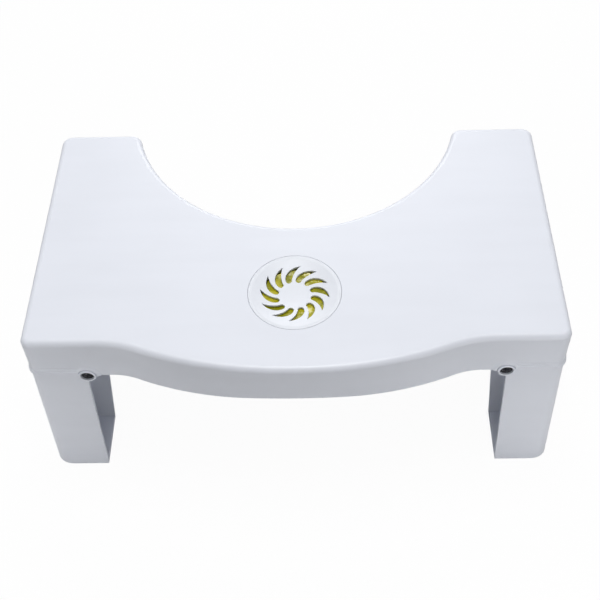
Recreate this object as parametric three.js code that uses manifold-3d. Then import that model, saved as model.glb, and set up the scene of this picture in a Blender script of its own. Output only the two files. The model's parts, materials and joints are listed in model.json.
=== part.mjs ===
// Folding footstool: a moulded deck with a U notch at the back, two splayed legs that fold inward
// on screws in its front and back skirts, and a scent insert with a dished lid in the deck.
// Millimetres, +Z up. X runs across the stool, -Y is the bulged front, Z = 0 is the floor.
import * as THREE from 'three';
import { mergeVertices } from 'three/addons/utils/BufferGeometryUtils.js';
import Module from 'manifold-3d';

const wasm = await Module();
wasm.setup();

// Deck
const deckWidth = 385;
const deckDepth = 212;
const deckHeight = 170;
const skirtDepth = 38.4;
const wall = 3;
const draftAngle = 1;
const topEdgeRadius = 4.5;
const innerEdgeRadius = 1.5;
const frontCornerRadius = 4.5;
const backCornerRadius = 8.5;
const smallestRadius = 0.5;

// Front bulge and back notch
const bulgeReach = 25;
const bulgeTuck = 1.6;
const bulgeBlendRadius = 30;
const bulgeShoulder = 16.4;
const notchRadius = 130.8;
const notchCentreSetBack = 25.6;
const notchMouthRadius = 9;

// Legs
const legWidth = 41.5;
const legLean = 3.24;
const legWall = 3;
const legRise = 1.6;
const seamGap = 0.4;
const legEdgeSet = 0.7;
const footRadius = 8.5;
const footFloor = 3;
const archHalfWidth = 53;
const archHeight = 74;
const archSlope = 11.3;
const archCornerRadius = 24;
const legRib = 2.2;
const legRibDepth = 8;
const legRibPlaces = 3;

// Pivots
const pivotRise = 0.7;
const bossRadius = 6.7;
const bossTaper = 0.2;
const bossProud = 2.6;
const bossEdge = 0.5;
const knuckleDepth = 6.6;
const headPocketRadius = 5.25;
const headPocketDepth = 4.9;
const headRadius = 4.95;
const headThickness = 1.5;
const shankRadius = 1.9;
const sleeveRadius = 3;
const lugThickness = 5;
const lugRadius = 8;
const lugSpread = 14;
const lugBossRadius = 5.5;
const lugBossDepth = 5.6;
const gussetThickness = 2.4;
const gussetReach = 30;
const gussetDrop = 7;

// Raised lip round the skirt's edge over each leg
const lipProud = 0.5;
const lipHeight = 6;
const lipFade = 1.6;
const archLipWidth = 2.4;
const archLipProud = 1.2;

// Ribs under the deck
const ribThickness = 2;
const ribDepth = 14;
const ribSink = 1;
const ribSpacing = 36;
const frontRibSetBack = 16;
const middleRibSetBack = 78;

// Scent insert
const lidRadius = 33.7;
const lidThickness = 1.6;
const lidDishRadius = 31;
const lidDishDepth = 4.9;
const lidSnapDepth = 5;
const lidSnapWall = 1.3;
const cupFlangeThickness = 1.5;
const cupRadius = 29.4;
const cupDepth = 16;
const cupWall = 1.8;
const cupFloor = 1.6;
const insertSetBack = 2.6;
const wellFloor = 2.6;
const wellWall = 2.6;
const wellCollarWall = 2.2;
const scentRadius = 24.5;
const scentHeight = 9.4;
const scentEdgeRadius = 2.5;

// Curved slots in the lid
const slotCount = 12;
const slotStart = 13.9;
const slotEnd = 25.3;
const slotHalfWidth = 2.2;
const slotSweep = 28;
const slotBend = 1.45;
const slotBelly = 2;
const slotFirstAngle = 108.5;

// Foot pads
const padLift = 0.8;
const padThickness = 1.8;
const padLength = 36;
const padWidth = 20;
const padCorner = 4;

// Fits
const clearance = 0.3;
const overrun = 2;
const weldDistance = 0.001;

// How finely curves are stepped
const longArcSteps = 20;
const shortArcSteps = 4;
const turnSteps = 24;
const discSteps = 56;

const radians = THREE.MathUtils.degToRad;
const draft = Math.tan(radians(draftAngle));
const lean = Math.tan(radians(legLean));

const halfWidth = deckWidth / 2;
const rimStart = deckHeight - topEdgeRadius;
const skirtBottom = deckHeight - skirtDepth;
const deckUnderside = deckHeight - wall;
const legTop = skirtBottom + legRise;
const seamTop = legTop + seamGap;
const seamGrowth = (rimStart - seamTop) * draft;
const legFront = -seamGrowth;
const legBack = deckDepth + seamGrowth;
const pivotX = halfWidth + seamGrowth - legWidth - legEdgeSet;
const pivotZ = skirtBottom + pivotRise;
const bossFront = legFront - bossProud;
const knuckleBack = legFront + knuckleDepth;
const lugFront = knuckleBack + clearance;
const lugBack = lugFront + lugThickness;
const pocketFloor = bossFront + headPocketDepth;
const boreRadius = sleeveRadius + clearance;
const screwHoleRadius = shankRadius + clearance;
const bulgeHalfSpan = pivotX - bulgeShoulder;
const notchCentreY = deckDepth + notchCentreSetBack;
const notchBottomY = notchCentreY - notchRadius;
const insertY = (notchBottomY - bulgeReach) / 2 + insertSetBack;
const flangeTop = deckHeight - lidThickness - clearance;
const wellStep = flangeTop - cupFlangeThickness - clearance;
const cupBottom = flangeTop - cupDepth;
const footBottom = padLift;
const footPadY = (deckDepth / 2 - archHalfWidth + legFront) / 2;

// Turns any closed geometry into a solid whose faces point out.
function solid(geometry) {
  const bare = geometry.clone();
  bare.deleteAttribute('normal');
  bare.deleteAttribute('uv');
  const merged = mergeVertices(bare, weldDistance);
  const places = merged.getAttribute('position').array;
  const corners = [];
  let volume = 0;
  for (let i = 0; i < merged.index.count; i += 3) {
    const [a, b, c] = [0, 1, 2].map((k) => merged.index.getX(i + k));
    if (a === b || b === c || c === a) continue;
    corners.push(a, b, c);
    const [p, q, r] = [a, b, c].map((k) => new THREE.Vector3().fromArray(places, k * 3));
    volume += p.dot(q.cross(r));
  }
  if (volume < 0) corners.reverse();
  const mesh = new wasm.Mesh({
    numProp: 3,
    vertProperties: new Float32Array(places),
    triVerts: new Uint32Array(corners),
  });
  return new wasm.Manifold(mesh);
}

function geometryOf(shape) {
  const mesh = shape.getMesh();
  const geometry = new THREE.BufferGeometry();
  geometry.setAttribute('position', new THREE.BufferAttribute(mesh.vertProperties, 3));
  geometry.setIndex(new THREE.BufferAttribute(mesh.triVerts, 1));
  return geometry;
}

function join(first, ...others) {
  return others.reduce((whole, piece) => whole.add(piece), first);
}

function cut(whole, ...tools) {
  return tools.reduce((rest, tool) => rest.subtract(tool), whole);
}

// Points on an arc, in degrees, with or without its first point.
function arc(x, y, radius, from, to, steps, skipFirst = false) {
  const points = [];
  for (let i = skipFirst ? 1 : 0; i <= steps; i++) {
    const angle = radians(from + ((to - from) * i) / steps);
    points.push(new THREE.Vector2(x + radius * Math.cos(angle), y + radius * Math.sin(angle)));
  }
  return points;
}

// Skins a stack of outlines, lowest first, that all have as many points.
function loft(sections) {
  const count = sections[0].outline.length;
  const places = sections.flatMap(({ z, outline }) => outline.flatMap((p) => [p.x, p.y, z]));
  const corners = [];
  for (let level = 0; level < sections.length - 1; level++) {
    for (let i = 0; i < count; i++) {
      const low = level * count + i;
      const lowNext = level * count + ((i + 1) % count);
      corners.push(low, lowNext, lowNext + count, low, lowNext + count, low + count);
    }
  }
  const top = (sections.length - 1) * count;
  for (const [a, b, c] of THREE.ShapeUtils.triangulateShape(sections[0].outline, [])) {
    corners.push(c, b, a);
  }
  for (const [a, b, c] of THREE.ShapeUtils.triangulateShape(sections.at(-1).outline, [])) {
    corners.push(top + a, top + b, top + c);
  }
  const geometry = new THREE.BufferGeometry();
  geometry.setAttribute('position', new THREE.Float32BufferAttribute(places, 3));
  geometry.setIndex(corners);
  return solid(geometry);
}

function block(x, y, z) {
  const geometry = new THREE.BoxGeometry(x[1] - x[0], y[1] - y[0], z[1] - z[0]);
  geometry.translate((x[0] + x[1]) / 2, (y[0] + y[1]) / 2, (z[0] + z[1]) / 2);
  return solid(geometry);
}

// Extrudes an XZ outline along +Y from the given place.
function plateAlongY(shape, from, thickness) {
  const geometry = new THREE.ExtrudeGeometry(shape, {
    depth: thickness,
    bevelEnabled: false,
    curveSegments: shortArcSteps * 2,
  });
  geometry.rotateX(Math.PI / 2);
  geometry.translate(0, from + thickness, 0);
  return geometry;
}

// Extrudes a YZ outline along +X from the given place.
function plateAlongX(shape, from, thickness) {
  const geometry = new THREE.ExtrudeGeometry(shape, {
    depth: thickness,
    bevelEnabled: false,
    curveSegments: shortArcSteps * 2,
  });
  const axes = new THREE.Matrix4().makeBasis(
    new THREE.Vector3(0, 1, 0),
    new THREE.Vector3(0, 0, 1),
    new THREE.Vector3(1, 0, 0),
  );
  geometry.applyMatrix4(axes);
  geometry.translate(from, 0, 0);
  return geometry;
}

function extrudeUp(shape, from, thickness) {
  const geometry = new THREE.ExtrudeGeometry(shape, {
    depth: thickness,
    bevelEnabled: false,
    curveSegments: shortArcSteps,
  });
  geometry.translate(0, 0, from);
  return geometry;
}

// Revolves [radius, y] points about the right front pivot's axis.
function turnedAtPivot(profile, steps = turnSteps) {
  const points = profile.map(([radius, y]) => new THREE.Vector2(radius, y));
  const geometry = new THREE.LatheGeometry(points, steps);
  geometry.translate(pivotX, 0, pivotZ);
  return geometry;
}

// Revolves [radius, z] points about the insert's upright axis.
function turnedAtInsert(profile, steps = discSteps) {
  const points = profile.map(([radius, z]) => new THREE.Vector2(radius, z));
  const geometry = new THREE.LatheGeometry(points, steps);
  geometry.rotateX(Math.PI / 2);
  geometry.translate(0, insertY, 0);
  return geometry;
}

// Copies a shape made for the right front corner to another corner of the stool.
const corners = [
  { name: 'right_front', side: 1, end: 1 },
  { name: 'right_back', side: 1, end: -1 },
  { name: 'left_front', side: -1, end: 1 },
  { name: 'left_back', side: -1, end: -1 },
];

function atCorner(geometry, { side, end }) {
  const copy = geometry.clone();
  copy.scale(side, end, 1);
  if (end < 0) copy.translate(0, deckDepth, 0);
  return solid(copy);
}

function atEveryCorner(geometry) {
  return corners.map((corner) => atCorner(geometry, corner));
}

// Plan outline of the deck, offset outward by growth, with the bulge reaching out as given.
function deckOutline(growth, reach) {
  const half = halfWidth + growth;
  const back = deckDepth + growth;
  const frontRadius = Math.max(frontCornerRadius + growth, smallestRadius);
  const backRadius = Math.max(backCornerRadius + growth, smallestRadius);
  const mouthRadius = Math.max(notchMouthRadius + growth, smallestRadius);
  const throatRadius = notchRadius - growth;

  const bulgeToBlend = (bulgeHalfSpan ** 2 + reach ** 2) / (2 * reach);
  const bulgeCentreY = bulgeToBlend - bulgeBlendRadius - reach;
  const bulgeRadius = bulgeToBlend - bulgeBlendRadius + growth;
  const blendRise = -bulgeBlendRadius - bulgeCentreY;
  const blendAngle = THREE.MathUtils.radToDeg(Math.atan2(blendRise, bulgeHalfSpan));

  const mouthY = back - mouthRadius;
  const mouthX = Math.sqrt((throatRadius + mouthRadius) ** 2 - (notchCentreY - mouthY) ** 2);
  const mouthAngle = THREE.MathUtils.radToDeg(Math.atan2(notchCentreY - mouthY, -mouthX));

  const right = [
    ...arc(0, bulgeCentreY, bulgeRadius, -90, blendAngle, longArcSteps / 2),
    ...arc(bulgeHalfSpan, -bulgeBlendRadius, bulgeBlendRadius - growth,
      blendAngle + 180, 90, shortArcSteps, true),
    ...arc(half - frontRadius, frontRadius - growth, frontRadius, -90, 0, shortArcSteps),
    ...arc(half - backRadius, back - backRadius, backRadius, 0, 90, shortArcSteps),
    ...arc(mouthX, mouthY, mouthRadius, 90, mouthAngle, shortArcSteps),
    ...arc(0, notchCentreY, throatRadius, mouthAngle - 180, -90, longArcSteps, true),
  ];
  right[0].x = 0;
  right.at(-1).x = 0;
  const left = right.slice(1, -1).reverse().map((p) => new THREE.Vector2(-p.x, p.y));
  return [...right, ...left];
}

function growthAt(z) {
  return (rimStart - z) * draft;
}

function reachAt(z) {
  return bulgeReach - (bulgeTuck * (rimStart - z)) / (rimStart - skirtBottom);
}

// Deck sections from a low level up over a rounded top edge.
function deckSections(lowest, inset, edgeStart, radius) {
  const sections = [lowest, edgeStart].map((z) => ({
    z,
    outline: deckOutline(growthAt(z) - inset, reachAt(z)),
  }));
  for (let i = 1; i <= shortArcSteps; i++) {
    const angle = ((Math.PI / 2) * i) / shortArcSteps;
    const pulled = growthAt(edgeStart) - inset - radius * (1 - Math.cos(angle));
    const z = edgeStart + radius * Math.sin(angle);
    sections.push({ z, outline: deckOutline(pulled, reachAt(edgeStart)) });
  }
  return sections;
}

// Plan outline of a leg or of the lip over it, on the right side.
function legOutline(innerX, outerX, front, back, frontRadius, backRadius) {
  return [
    new THREE.Vector2(innerX, front),
    ...arc(outerX - frontRadius, front + frontRadius, frontRadius, -90, 0, shortArcSteps),
    ...arc(outerX - backRadius, back - backRadius, backRadius, 0, 90, shortArcSteps),
    new THREE.Vector2(innerX, back),
  ];
}

// The raised lip: full over its height, then fading into the skirt above.
function skirtLip() {
  const levels = [
    { z: seamTop - overrun, proud: lipProud },
    { z: seamTop + lipHeight, proud: lipProud },
    { z: seamTop + lipHeight + lipFade, proud: -lipProud },
  ];
  return loft(levels.map(({ z, proud }) => {
    const growth = growthAt(z) + proud;
    return {
      z,
      outline: legOutline(pivotX, halfWidth + growth, -growth, deckDepth + growth,
        frontCornerRadius + growth, backCornerRadius + growth),
    };
  }));
}

function mirroredPair(shape) {
  const other = geometryOf(shape);
  other.scale(-1, 1, 1);
  return [shape, solid(other)];
}

// Cheek behind each knuckle that takes the pivot screw, with its boss and gusset.
function hingeLug() {
  const outline = new THREE.Shape();
  const root = deckUnderside + ribSink;
  outline.moveTo(pivotX - lugSpread, root);
  outline.lineTo(pivotX - lugRadius, pivotZ);
  outline.absarc(pivotX, pivotZ, lugRadius, Math.PI, 2 * Math.PI, false);
  outline.lineTo(pivotX + lugSpread, root);
  const cheek = solid(plateAlongY(outline, lugFront, lugThickness));
  const boss = solid(turnedAtPivot([
    [0, lugFront + lugThickness / 2],
    [lugBossRadius, lugFront + lugThickness / 2],
    [lugBossRadius, lugBack + lugBossDepth],
    [0, lugBack + lugBossDepth],
  ]));

  const side = new THREE.Shape();
  side.moveTo(lugBack - ribSink, root);
  side.lineTo(lugBack - ribSink, pivotZ + lugBossRadius + gussetThickness);
  side.lineTo(lugBack + gussetReach, deckUnderside - gussetDrop);
  side.lineTo(lugBack + gussetReach, root);
  const gusset = solid(plateAlongX(side, pivotX - gussetThickness / 2, gussetThickness));

  const tie = block(
    [pivotX - gussetThickness / 2, pivotX + gussetThickness / 2],
    [-seamGrowth + wall - ribSink, lugFront + ribSink],
    [pivotZ + bossRadius + gussetDrop, root],
  );
  return geometryOf(join(cheek, boss, gusset, tie));
}

function screwHole() {
  return turnedAtPivot([
    [0, lugFront - clearance],
    [screwHoleRadius, lugFront - clearance],
    [screwHoleRadius, lugBack + lugBossDepth - clearance * 2],
    [0, lugBack + lugBossDepth - clearance * 2],
  ]);
}

function deckRibs() {
  const low = deckUnderside - ribDepth;
  const high = deckUnderside + ribSink;
  const half = ribThickness / 2;
  const ribs = [frontRibSetBack, middleRibSetBack].map((y) =>
    block([-halfWidth, halfWidth], [y - half, y + half], [low, high]));
  const lines = Math.floor((halfWidth - wall * 2) / ribSpacing);
  for (let i = -lines; i <= lines; i++) {
    const x = i * ribSpacing;
    ribs.push(block([x - half, x + half], [-bulgeReach, deckDepth], [low, high]));
  }
  const inside = loft(deckSections(low - overrun, wall / 2, rimStart, innerEdgeRadius));
  return join(...ribs).intersect(inside);
}

// The step and collar that hold the scent cup.
function wellBody() {
  const stepRadius = lidRadius + seamGap;
  const collarRadius = cupRadius + clearance + wellCollarWall;
  const collarBottom = deckUnderside - ribDepth;
  return solid(turnedAtInsert([
    [0, collarBottom],
    [collarRadius, collarBottom],
    [collarRadius, wellStep - wellFloor],
    [stepRadius + wellWall, wellStep - wellFloor],
    [stepRadius + wellWall, deckUnderside + ribSink],
    [0, deckUnderside + ribSink],
  ]));
}

function wellHole() {
  const stepRadius = lidRadius + seamGap;
  const holeRadius = cupRadius + clearance;
  return solid(turnedAtInsert([
    [0, deckUnderside - ribDepth - overrun],
    [holeRadius, deckUnderside - ribDepth - overrun],
    [holeRadius, wellStep],
    [stepRadius, wellStep],
    [stepRadius, deckHeight + overrun],
    [0, deckHeight + overrun],
  ]));
}

function makeTopShell() {
  const archRadius = bossRadius + bossTaper + seamGap;
  const swelling = turnedAtPivot([
    [0, legFront - archLipProud],
    [archRadius + archLipWidth / 2, legFront - archLipProud],
    [archRadius + archLipWidth, legFront],
    [archRadius + archLipWidth, wall / 2],
    [0, wall / 2],
  ]);
  const archCut = turnedAtPivot([
    [0, legFront - archLipProud - overrun],
    [archRadius, legFront - archLipProud - overrun],
    [archRadius, lugFront - clearance],
    [0, lugFront - clearance],
  ]);
  const beyond = halfWidth + deckDepth;
  const skin = join(
    loft(deckSections(skirtBottom, 0, rimStart, topEdgeRadius)),
    ...mirroredPair(skirtLip()),
    ...atEveryCorner(swelling),
  );
  const belowSkirt = block([-beyond, beyond], [-beyond, beyond], [0, skirtBottom]);
  const overLeg = block([pivotX, beyond], [-beyond, beyond], [0, seamTop]);
  const cavityStart = deckUnderside - innerEdgeRadius;
  const cavity = loft(deckSections(skirtBottom - overrun, wall, cavityStart, innerEdgeRadius));
  const hollow = cut(skin, belowSkirt, ...mirroredPair(overLeg), cavity);
  const ribbed = join(hollow, deckRibs(), wellBody());
  const opened = cut(ribbed, wellHole(), ...atEveryCorner(archCut));
  const lugged = join(opened, ...atEveryCorner(hingeLug()));
  return cut(lugged, ...atEveryCorner(screwHole()));
}

function legInnerX(z) {
  return pivotX + legEdgeSet + (pivotZ - z) * lean;
}

// Leg sections from the rounded foot up, drawn in by an inset on the closed sides.
function legSections(bottom, top, inset, openX) {
  const radius = footRadius - inset;
  const levels = [];
  for (let i = 0; i <= shortArcSteps; i++) {
    const angle = ((Math.PI / 2) * i) / shortArcSteps;
    levels.push({ z: bottom + radius * (1 - Math.cos(angle)), shift: radius * (1 - Math.sin(angle)) });
  }
  levels.push({ z: top, shift: 0 });
  return levels.map(({ z, shift }) => ({
    z,
    outline: legOutline(
      legInnerX(z) - openX,
      legInnerX(z) + legWidth - inset - shift,
      legFront + inset,
      legBack - inset,
      Math.max(frontCornerRadius - inset, smallestRadius),
      Math.max(backCornerRadius - inset, smallestRadius),
    ),
  }));
}

// Side outline of the arch between the feet, grown by a wall where asked.
function archShape(growth) {
  const middle = deckDepth / 2;
  const crown = footBottom + archHeight + growth;
  const slope = Math.tan(radians(archSlope));
  const floorHalf = archHalfWidth + growth / Math.cos(radians(archSlope));
  const radius = archCornerRadius + growth;
  const shift = Math.tan(radians(45 - archSlope / 2)) * radius;
  const bendHalf = floorHalf - archHeight * slope - growth * slope;
  const below = footBottom - overrun;
  const flare = overrun * slope;
  const shape = new THREE.Shape();
  shape.moveTo(middle - floorHalf - flare, below);
  shape.lineTo(middle + floorHalf + flare, below);
  const centreHalf = bendHalf - shift;
  shape.absarc(middle + centreHalf, crown - radius, radius, radians(archSlope), Math.PI / 2, false);
  shape.absarc(middle - centreHalf, crown - radius, radius, Math.PI / 2,
    Math.PI - radians(archSlope), false);
  return shape;
}

function legRibs() {
  const ribs = [];
  const crown = footBottom + archHeight;
  const reach = legWidth + overrun;
  const spacing = archHalfWidth / 2;
  for (let i = 0; i < legRibPlaces; i++) {
    const y = deckDepth / 2 + (i - (legRibPlaces - 1) / 2) * spacing;
    ribs.push(block([pivotX, pivotX + reach * 2], [y - legRib / 2, y + legRib / 2],
      [crown, legTop - legWall]));
  }
  const low = [footBottom + archHeight / 3, footBottom + (archHeight * 2) / 3, crown + legWall * 6];
  for (const z of low) {
    const outer = legInnerX(z) + legWidth - legWall / 2;
    ribs.push(block([outer - legRibDepth, outer], [legFront, legBack],
      [z - legRib / 2, z + legRib / 2]));
  }
  return join(...ribs);
}

// Knuckle with the pocket for the screw head and the bore for the sleeve.
function knuckle() {
  const rootRadius = bossRadius + bossTaper;
  return turnedAtPivot([
    [headPocketRadius, bossFront],
    [bossRadius - bossEdge, bossFront],
    [bossRadius, bossFront + bossEdge],
    [rootRadius, knuckleBack],
    [boreRadius, knuckleBack],
    [boreRadius, pocketFloor],
    [headPocketRadius, pocketFloor],
    [headPocketRadius, bossFront],
  ]);
}

function makeRightLeg() {
  const envelope = loft(legSections(footBottom, legTop, 0, 0));
  const hollow = loft(legSections(footBottom + footFloor, legTop + overrun, legWall, legWidth));
  const span = [pivotX - legWidth, legWidth * 3];
  const archBand = solid(plateAlongX(archShape(legWall), ...span)).intersect(envelope);
  const archOpening = solid(plateAlongX(archShape(0), ...span));
  const eyeRoom = turnedAtPivot([
    [0, bossFront],
    [bossRadius - bossEdge, bossFront],
    [bossRadius - bossEdge, knuckleBack],
    [0, knuckleBack],
  ]);
  const tray = join(cut(envelope, hollow), archBand, legRibs().intersect(envelope));
  const ends = corners.filter(({ side }) => side > 0);
  const opened = cut(tray, archOpening, ...ends.map((corner) => atCorner(eyeRoom, corner)));
  const withKnuckles = join(opened, ...ends.map((corner) => atCorner(knuckle(), corner)));
  return cut(withKnuckles, ...ends.map((corner) => atCorner(geometryOf(padPocket()), corner)));
}

function padOutline(grow) {
  const x = footPadX();
  const width = padWidth / 2 + grow;
  const length = padLength / 2 + grow;
  const radius = padCorner + grow;
  return new THREE.Shape([
    ...arc(x + width - radius, footPadY - length + radius, radius, -90, 0, shortArcSteps),
    ...arc(x + width - radius, footPadY + length - radius, radius, 0, 90, shortArcSteps),
    ...arc(x - width + radius, footPadY + length - radius, radius, 90, 180, shortArcSteps),
    ...arc(x - width + radius, footPadY - length + radius, radius, 180, 270, shortArcSteps),
  ]);
}

function footPadX() {
  return legInnerX(footBottom) + (legWidth - footRadius) / 2;
}

function padPocket() {
  const depth = padThickness - padLift + clearance;
  return solid(extrudeUp(padOutline(clearance), footBottom - overrun, overrun + depth));
}

function footPad() {
  return extrudeUp(padOutline(0), 0, padThickness);
}

function pivotScrew() {
  const underside = pocketFloor - clearance;
  const tip = lugBack + lugBossDepth - clearance * 4;
  return turnedAtPivot([
    [0, underside - headThickness],
    [headRadius - headThickness / 3, underside - headThickness],
    [headRadius, underside - headThickness / 3],
    [headRadius, underside],
    [shankRadius, underside],
    [shankRadius, tip - shankRadius],
    [0, tip],
  ]);
}

function pivotSleeve() {
  return turnedAtPivot([
    [screwHoleRadius, pocketFloor],
    [sleeveRadius, pocketFloor],
    [sleeveRadius, knuckleBack],
    [screwHoleRadius, knuckleBack],
    [screwHoleRadius, pocketFloor],
  ]);
}

function makeCup() {
  const inner = cupRadius - cupWall;
  const flangeBottom = flangeTop - cupFlangeThickness;
  const floorTop = cupBottom + cupFloor;
  return solid(turnedAtInsert([
    [0, cupBottom],
    [inner, cupBottom],
    [cupRadius, cupBottom + cupWall],
    [cupRadius, flangeBottom],
    [lidRadius, flangeBottom],
    [lidRadius, flangeTop],
    [inner, flangeTop],
    [inner, floorTop + cupWall],
    [inner - cupWall, floorTop],
    [0, floorTop],
  ]));
}

// Points along the dish in the lid, lowered by a drop, from one radius to another.
function dishProfile(drop, from, to) {
  const points = [];
  for (let i = 0; i <= shortArcSteps; i++) {
    const radius = from + ((to - from) * i) / shortArcSteps;
    const depth = lidDishDepth * Math.max(1 - (radius / lidDishRadius) ** 2, 0);
    points.push([radius, deckHeight - depth - drop]);
  }
  return points;
}

// One comma-shaped slot: round at the hub, swept clockwise to a point.
function slotShape(angle) {
  const steps = shortArcSteps + 2;
  const middle = (t) => {
    const radius = slotStart + (slotEnd - slotStart) * t;
    const turn = radians(angle - slotSweep * t ** slotBend);
    return new THREE.Vector2(radius * Math.cos(turn), radius * Math.sin(turn));
  };
  const leading = [];
  const trailing = [];
  for (let i = 0; i < steps; i++) {
    const t = i / steps;
    const along = middle(t + 1 / steps).sub(middle(t)).normalize();
    const half = slotHalfWidth * (1 - t) * (1 + slotBelly * t);
    const across = new THREE.Vector2(-along.y, along.x).multiplyScalar(half);
    leading.push(middle(t).sub(across));
    trailing.unshift(middle(t).add(across));
  }
  const start = middle(0);
  const last = trailing.at(-1);
  const first = THREE.MathUtils.radToDeg(Math.atan2(last.y - start.y, last.x - start.x));
  const end = arc(start.x, start.y, slotHalfWidth, first, first + 180, shortArcSteps).slice(1, -1);
  return new THREE.Shape([...leading, middle(1), ...trailing, ...end]);
}

function makeLid() {
  const snapRadius = cupRadius - cupWall - clearance;
  const snapInner = snapRadius - lidSnapWall;
  const snapBottom = flangeTop - lidSnapDepth;
  const underside = deckHeight - lidThickness;
  const plate = solid(turnedAtInsert([
    ...dishProfile(lidThickness, 0, snapInner),
    [snapInner, snapBottom],
    [snapRadius, snapBottom],
    [snapRadius, underside],
    [lidRadius, underside],
    [lidRadius, deckHeight],
    ...dishProfile(0, lidDishRadius, 0),
  ]));
  const slots = [];
  for (let i = 0; i < slotCount; i++) {
    const shape = slotShape(slotFirstAngle - (360 / slotCount) * i);
    const height = lidDishDepth + lidThickness + overrun * 2;
    const tool = extrudeUp(shape, deckHeight + overrun - height, height);
    tool.translate(0, insertY, 0);
    slots.push(solid(tool));
  }
  return cut(plate, ...slots);
}

function makeScentPad() {
  const base = cupBottom + cupFloor + clearance;
  const top = base + scentHeight;
  const edge = arc(scentRadius - scentEdgeRadius, top - scentEdgeRadius, scentEdgeRadius,
    0, 90, shortArcSteps).map((p) => [p.x, p.y]);
  return solid(turnedAtInsert([[0, base], [scentRadius, base], ...edge, [0, top]]));
}

function plastic(colour, roughness) {
  return new THREE.MeshStandardMaterial({ color: colour, roughness, metalness: 0 });
}

const shellWhite = plastic(0xeef1f4, 0.35);
const insertWhite = plastic(0xf3f4f5, 0.3);
const scentYellow = plastic(0xb8b414, 0.3);
const padRubber = plastic(0x3b3d40, 0.85);
const darkSteel = new THREE.MeshStandardMaterial({ color: 0x222325, roughness: 0.4, metalness: 0.9 });
const brightSteel = new THREE.MeshStandardMaterial({ color: 0xb9bcc0, roughness: 0.3, metalness: 1 });

function named(name, shape, material) {
  const mesh = new THREE.Mesh(geometryOf(shape), material);
  mesh.name = name;
  return mesh;
}

// The stool stands with the middle of its outer box over the origin.
const frontmost = Math.min(-bulgeReach, -reachAt(skirtBottom) - growthAt(skirtBottom));
const rearmost = deckDepth - bossFront;

const stool = new THREE.Group();
stool.position.y = -(frontmost + rearmost) / 2;
stool.add(named('top_shell', makeTopShell(), shellWhite));

const [rightLeg, leftLeg] = mirroredPair(makeRightLeg());
stool.add(named('right_leg', rightLeg, shellWhite));
stool.add(named('left_leg', leftLeg, shellWhite));

for (const corner of corners) {
  stool.add(named(`pivot_screw_${corner.name}`, atCorner(pivotScrew(), corner), darkSteel));
  stool.add(named(`pivot_sleeve_${corner.name}`, atCorner(pivotSleeve(), corner), brightSteel));
  stool.add(named(`foot_pad_${corner.name}`, atCorner(footPad(), corner), padRubber));
}

stool.add(named('scent_cup', makeCup(), insertWhite));
stool.add(named('scent_lid', makeLid(), insertWhite));
stool.add(named('scent_pad', makeScentPad(), scentYellow));

export default stool;
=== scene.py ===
# %% [markdown]
# # A folding toilet footstool
# The stool is a white moulded deck with a deep notch at the back, two arched legs that fold inward on
# screws, and a round scent insert under a slotted, dished lid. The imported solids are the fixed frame.
# Here every part that shows is built again as a finer mesh over the same sizes, and gets its finish.

# %% Load the fixed frame
import json
import math

import bmesh
import bpy
from mathutils import Matrix, Vector


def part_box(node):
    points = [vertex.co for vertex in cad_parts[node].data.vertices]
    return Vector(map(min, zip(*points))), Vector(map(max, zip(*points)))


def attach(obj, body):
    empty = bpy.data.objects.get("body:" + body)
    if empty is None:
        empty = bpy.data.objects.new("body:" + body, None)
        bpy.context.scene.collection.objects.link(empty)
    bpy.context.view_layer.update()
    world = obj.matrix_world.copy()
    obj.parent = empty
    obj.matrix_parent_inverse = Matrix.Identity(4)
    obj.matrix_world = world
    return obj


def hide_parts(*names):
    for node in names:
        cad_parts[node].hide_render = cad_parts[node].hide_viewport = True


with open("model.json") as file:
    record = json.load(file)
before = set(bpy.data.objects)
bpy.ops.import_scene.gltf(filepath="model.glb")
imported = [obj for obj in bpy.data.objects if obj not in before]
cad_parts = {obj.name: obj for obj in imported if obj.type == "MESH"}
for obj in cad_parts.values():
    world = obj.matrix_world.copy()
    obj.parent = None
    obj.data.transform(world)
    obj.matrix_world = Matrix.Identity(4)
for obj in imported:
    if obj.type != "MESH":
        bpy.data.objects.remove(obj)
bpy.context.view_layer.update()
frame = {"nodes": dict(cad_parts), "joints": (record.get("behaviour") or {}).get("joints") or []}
joints = {joint["name"]: joint for joint in frame["joints"]}

# %% [markdown]
# ## The camera
# The stool is seen from above its bulged front, a little to the right of the middle, by a camera that
# was held slightly askew. Its place and turn were worked out from the corners of the deck and feet.

# %% Camera
mm = 0.001
camera_place = Vector((20.6, -492.5, 725.1)) * mm
camera_turn = [math.radians(a) for a in (37.955, 1.608, 0.147)]
camera_lens = 59.293
camera_sensor = 36
camera_near = 10 * mm

camera = bpy.data.objects.new("camera", bpy.data.cameras.new("camera"))
camera.location = camera_place
camera.rotation_euler = camera_turn
camera.data.lens = camera_lens
camera.data.sensor_width = camera_sensor
camera.data.clip_start = camera_near
bpy.context.scene.collection.objects.link(camera)
bpy.context.scene.camera = camera
print("camera stands", round(camera_place.length, 3), "m from the stool's foot")

# %% [markdown]
# ## Node trees written as sums
# Finishes and repeated parts are node trees. Wiring them by hand hides the idea, so a `Wire` stands
# for a socket and takes part in ordinary sums, and `Tree.node` adds any other node in one call.

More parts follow.
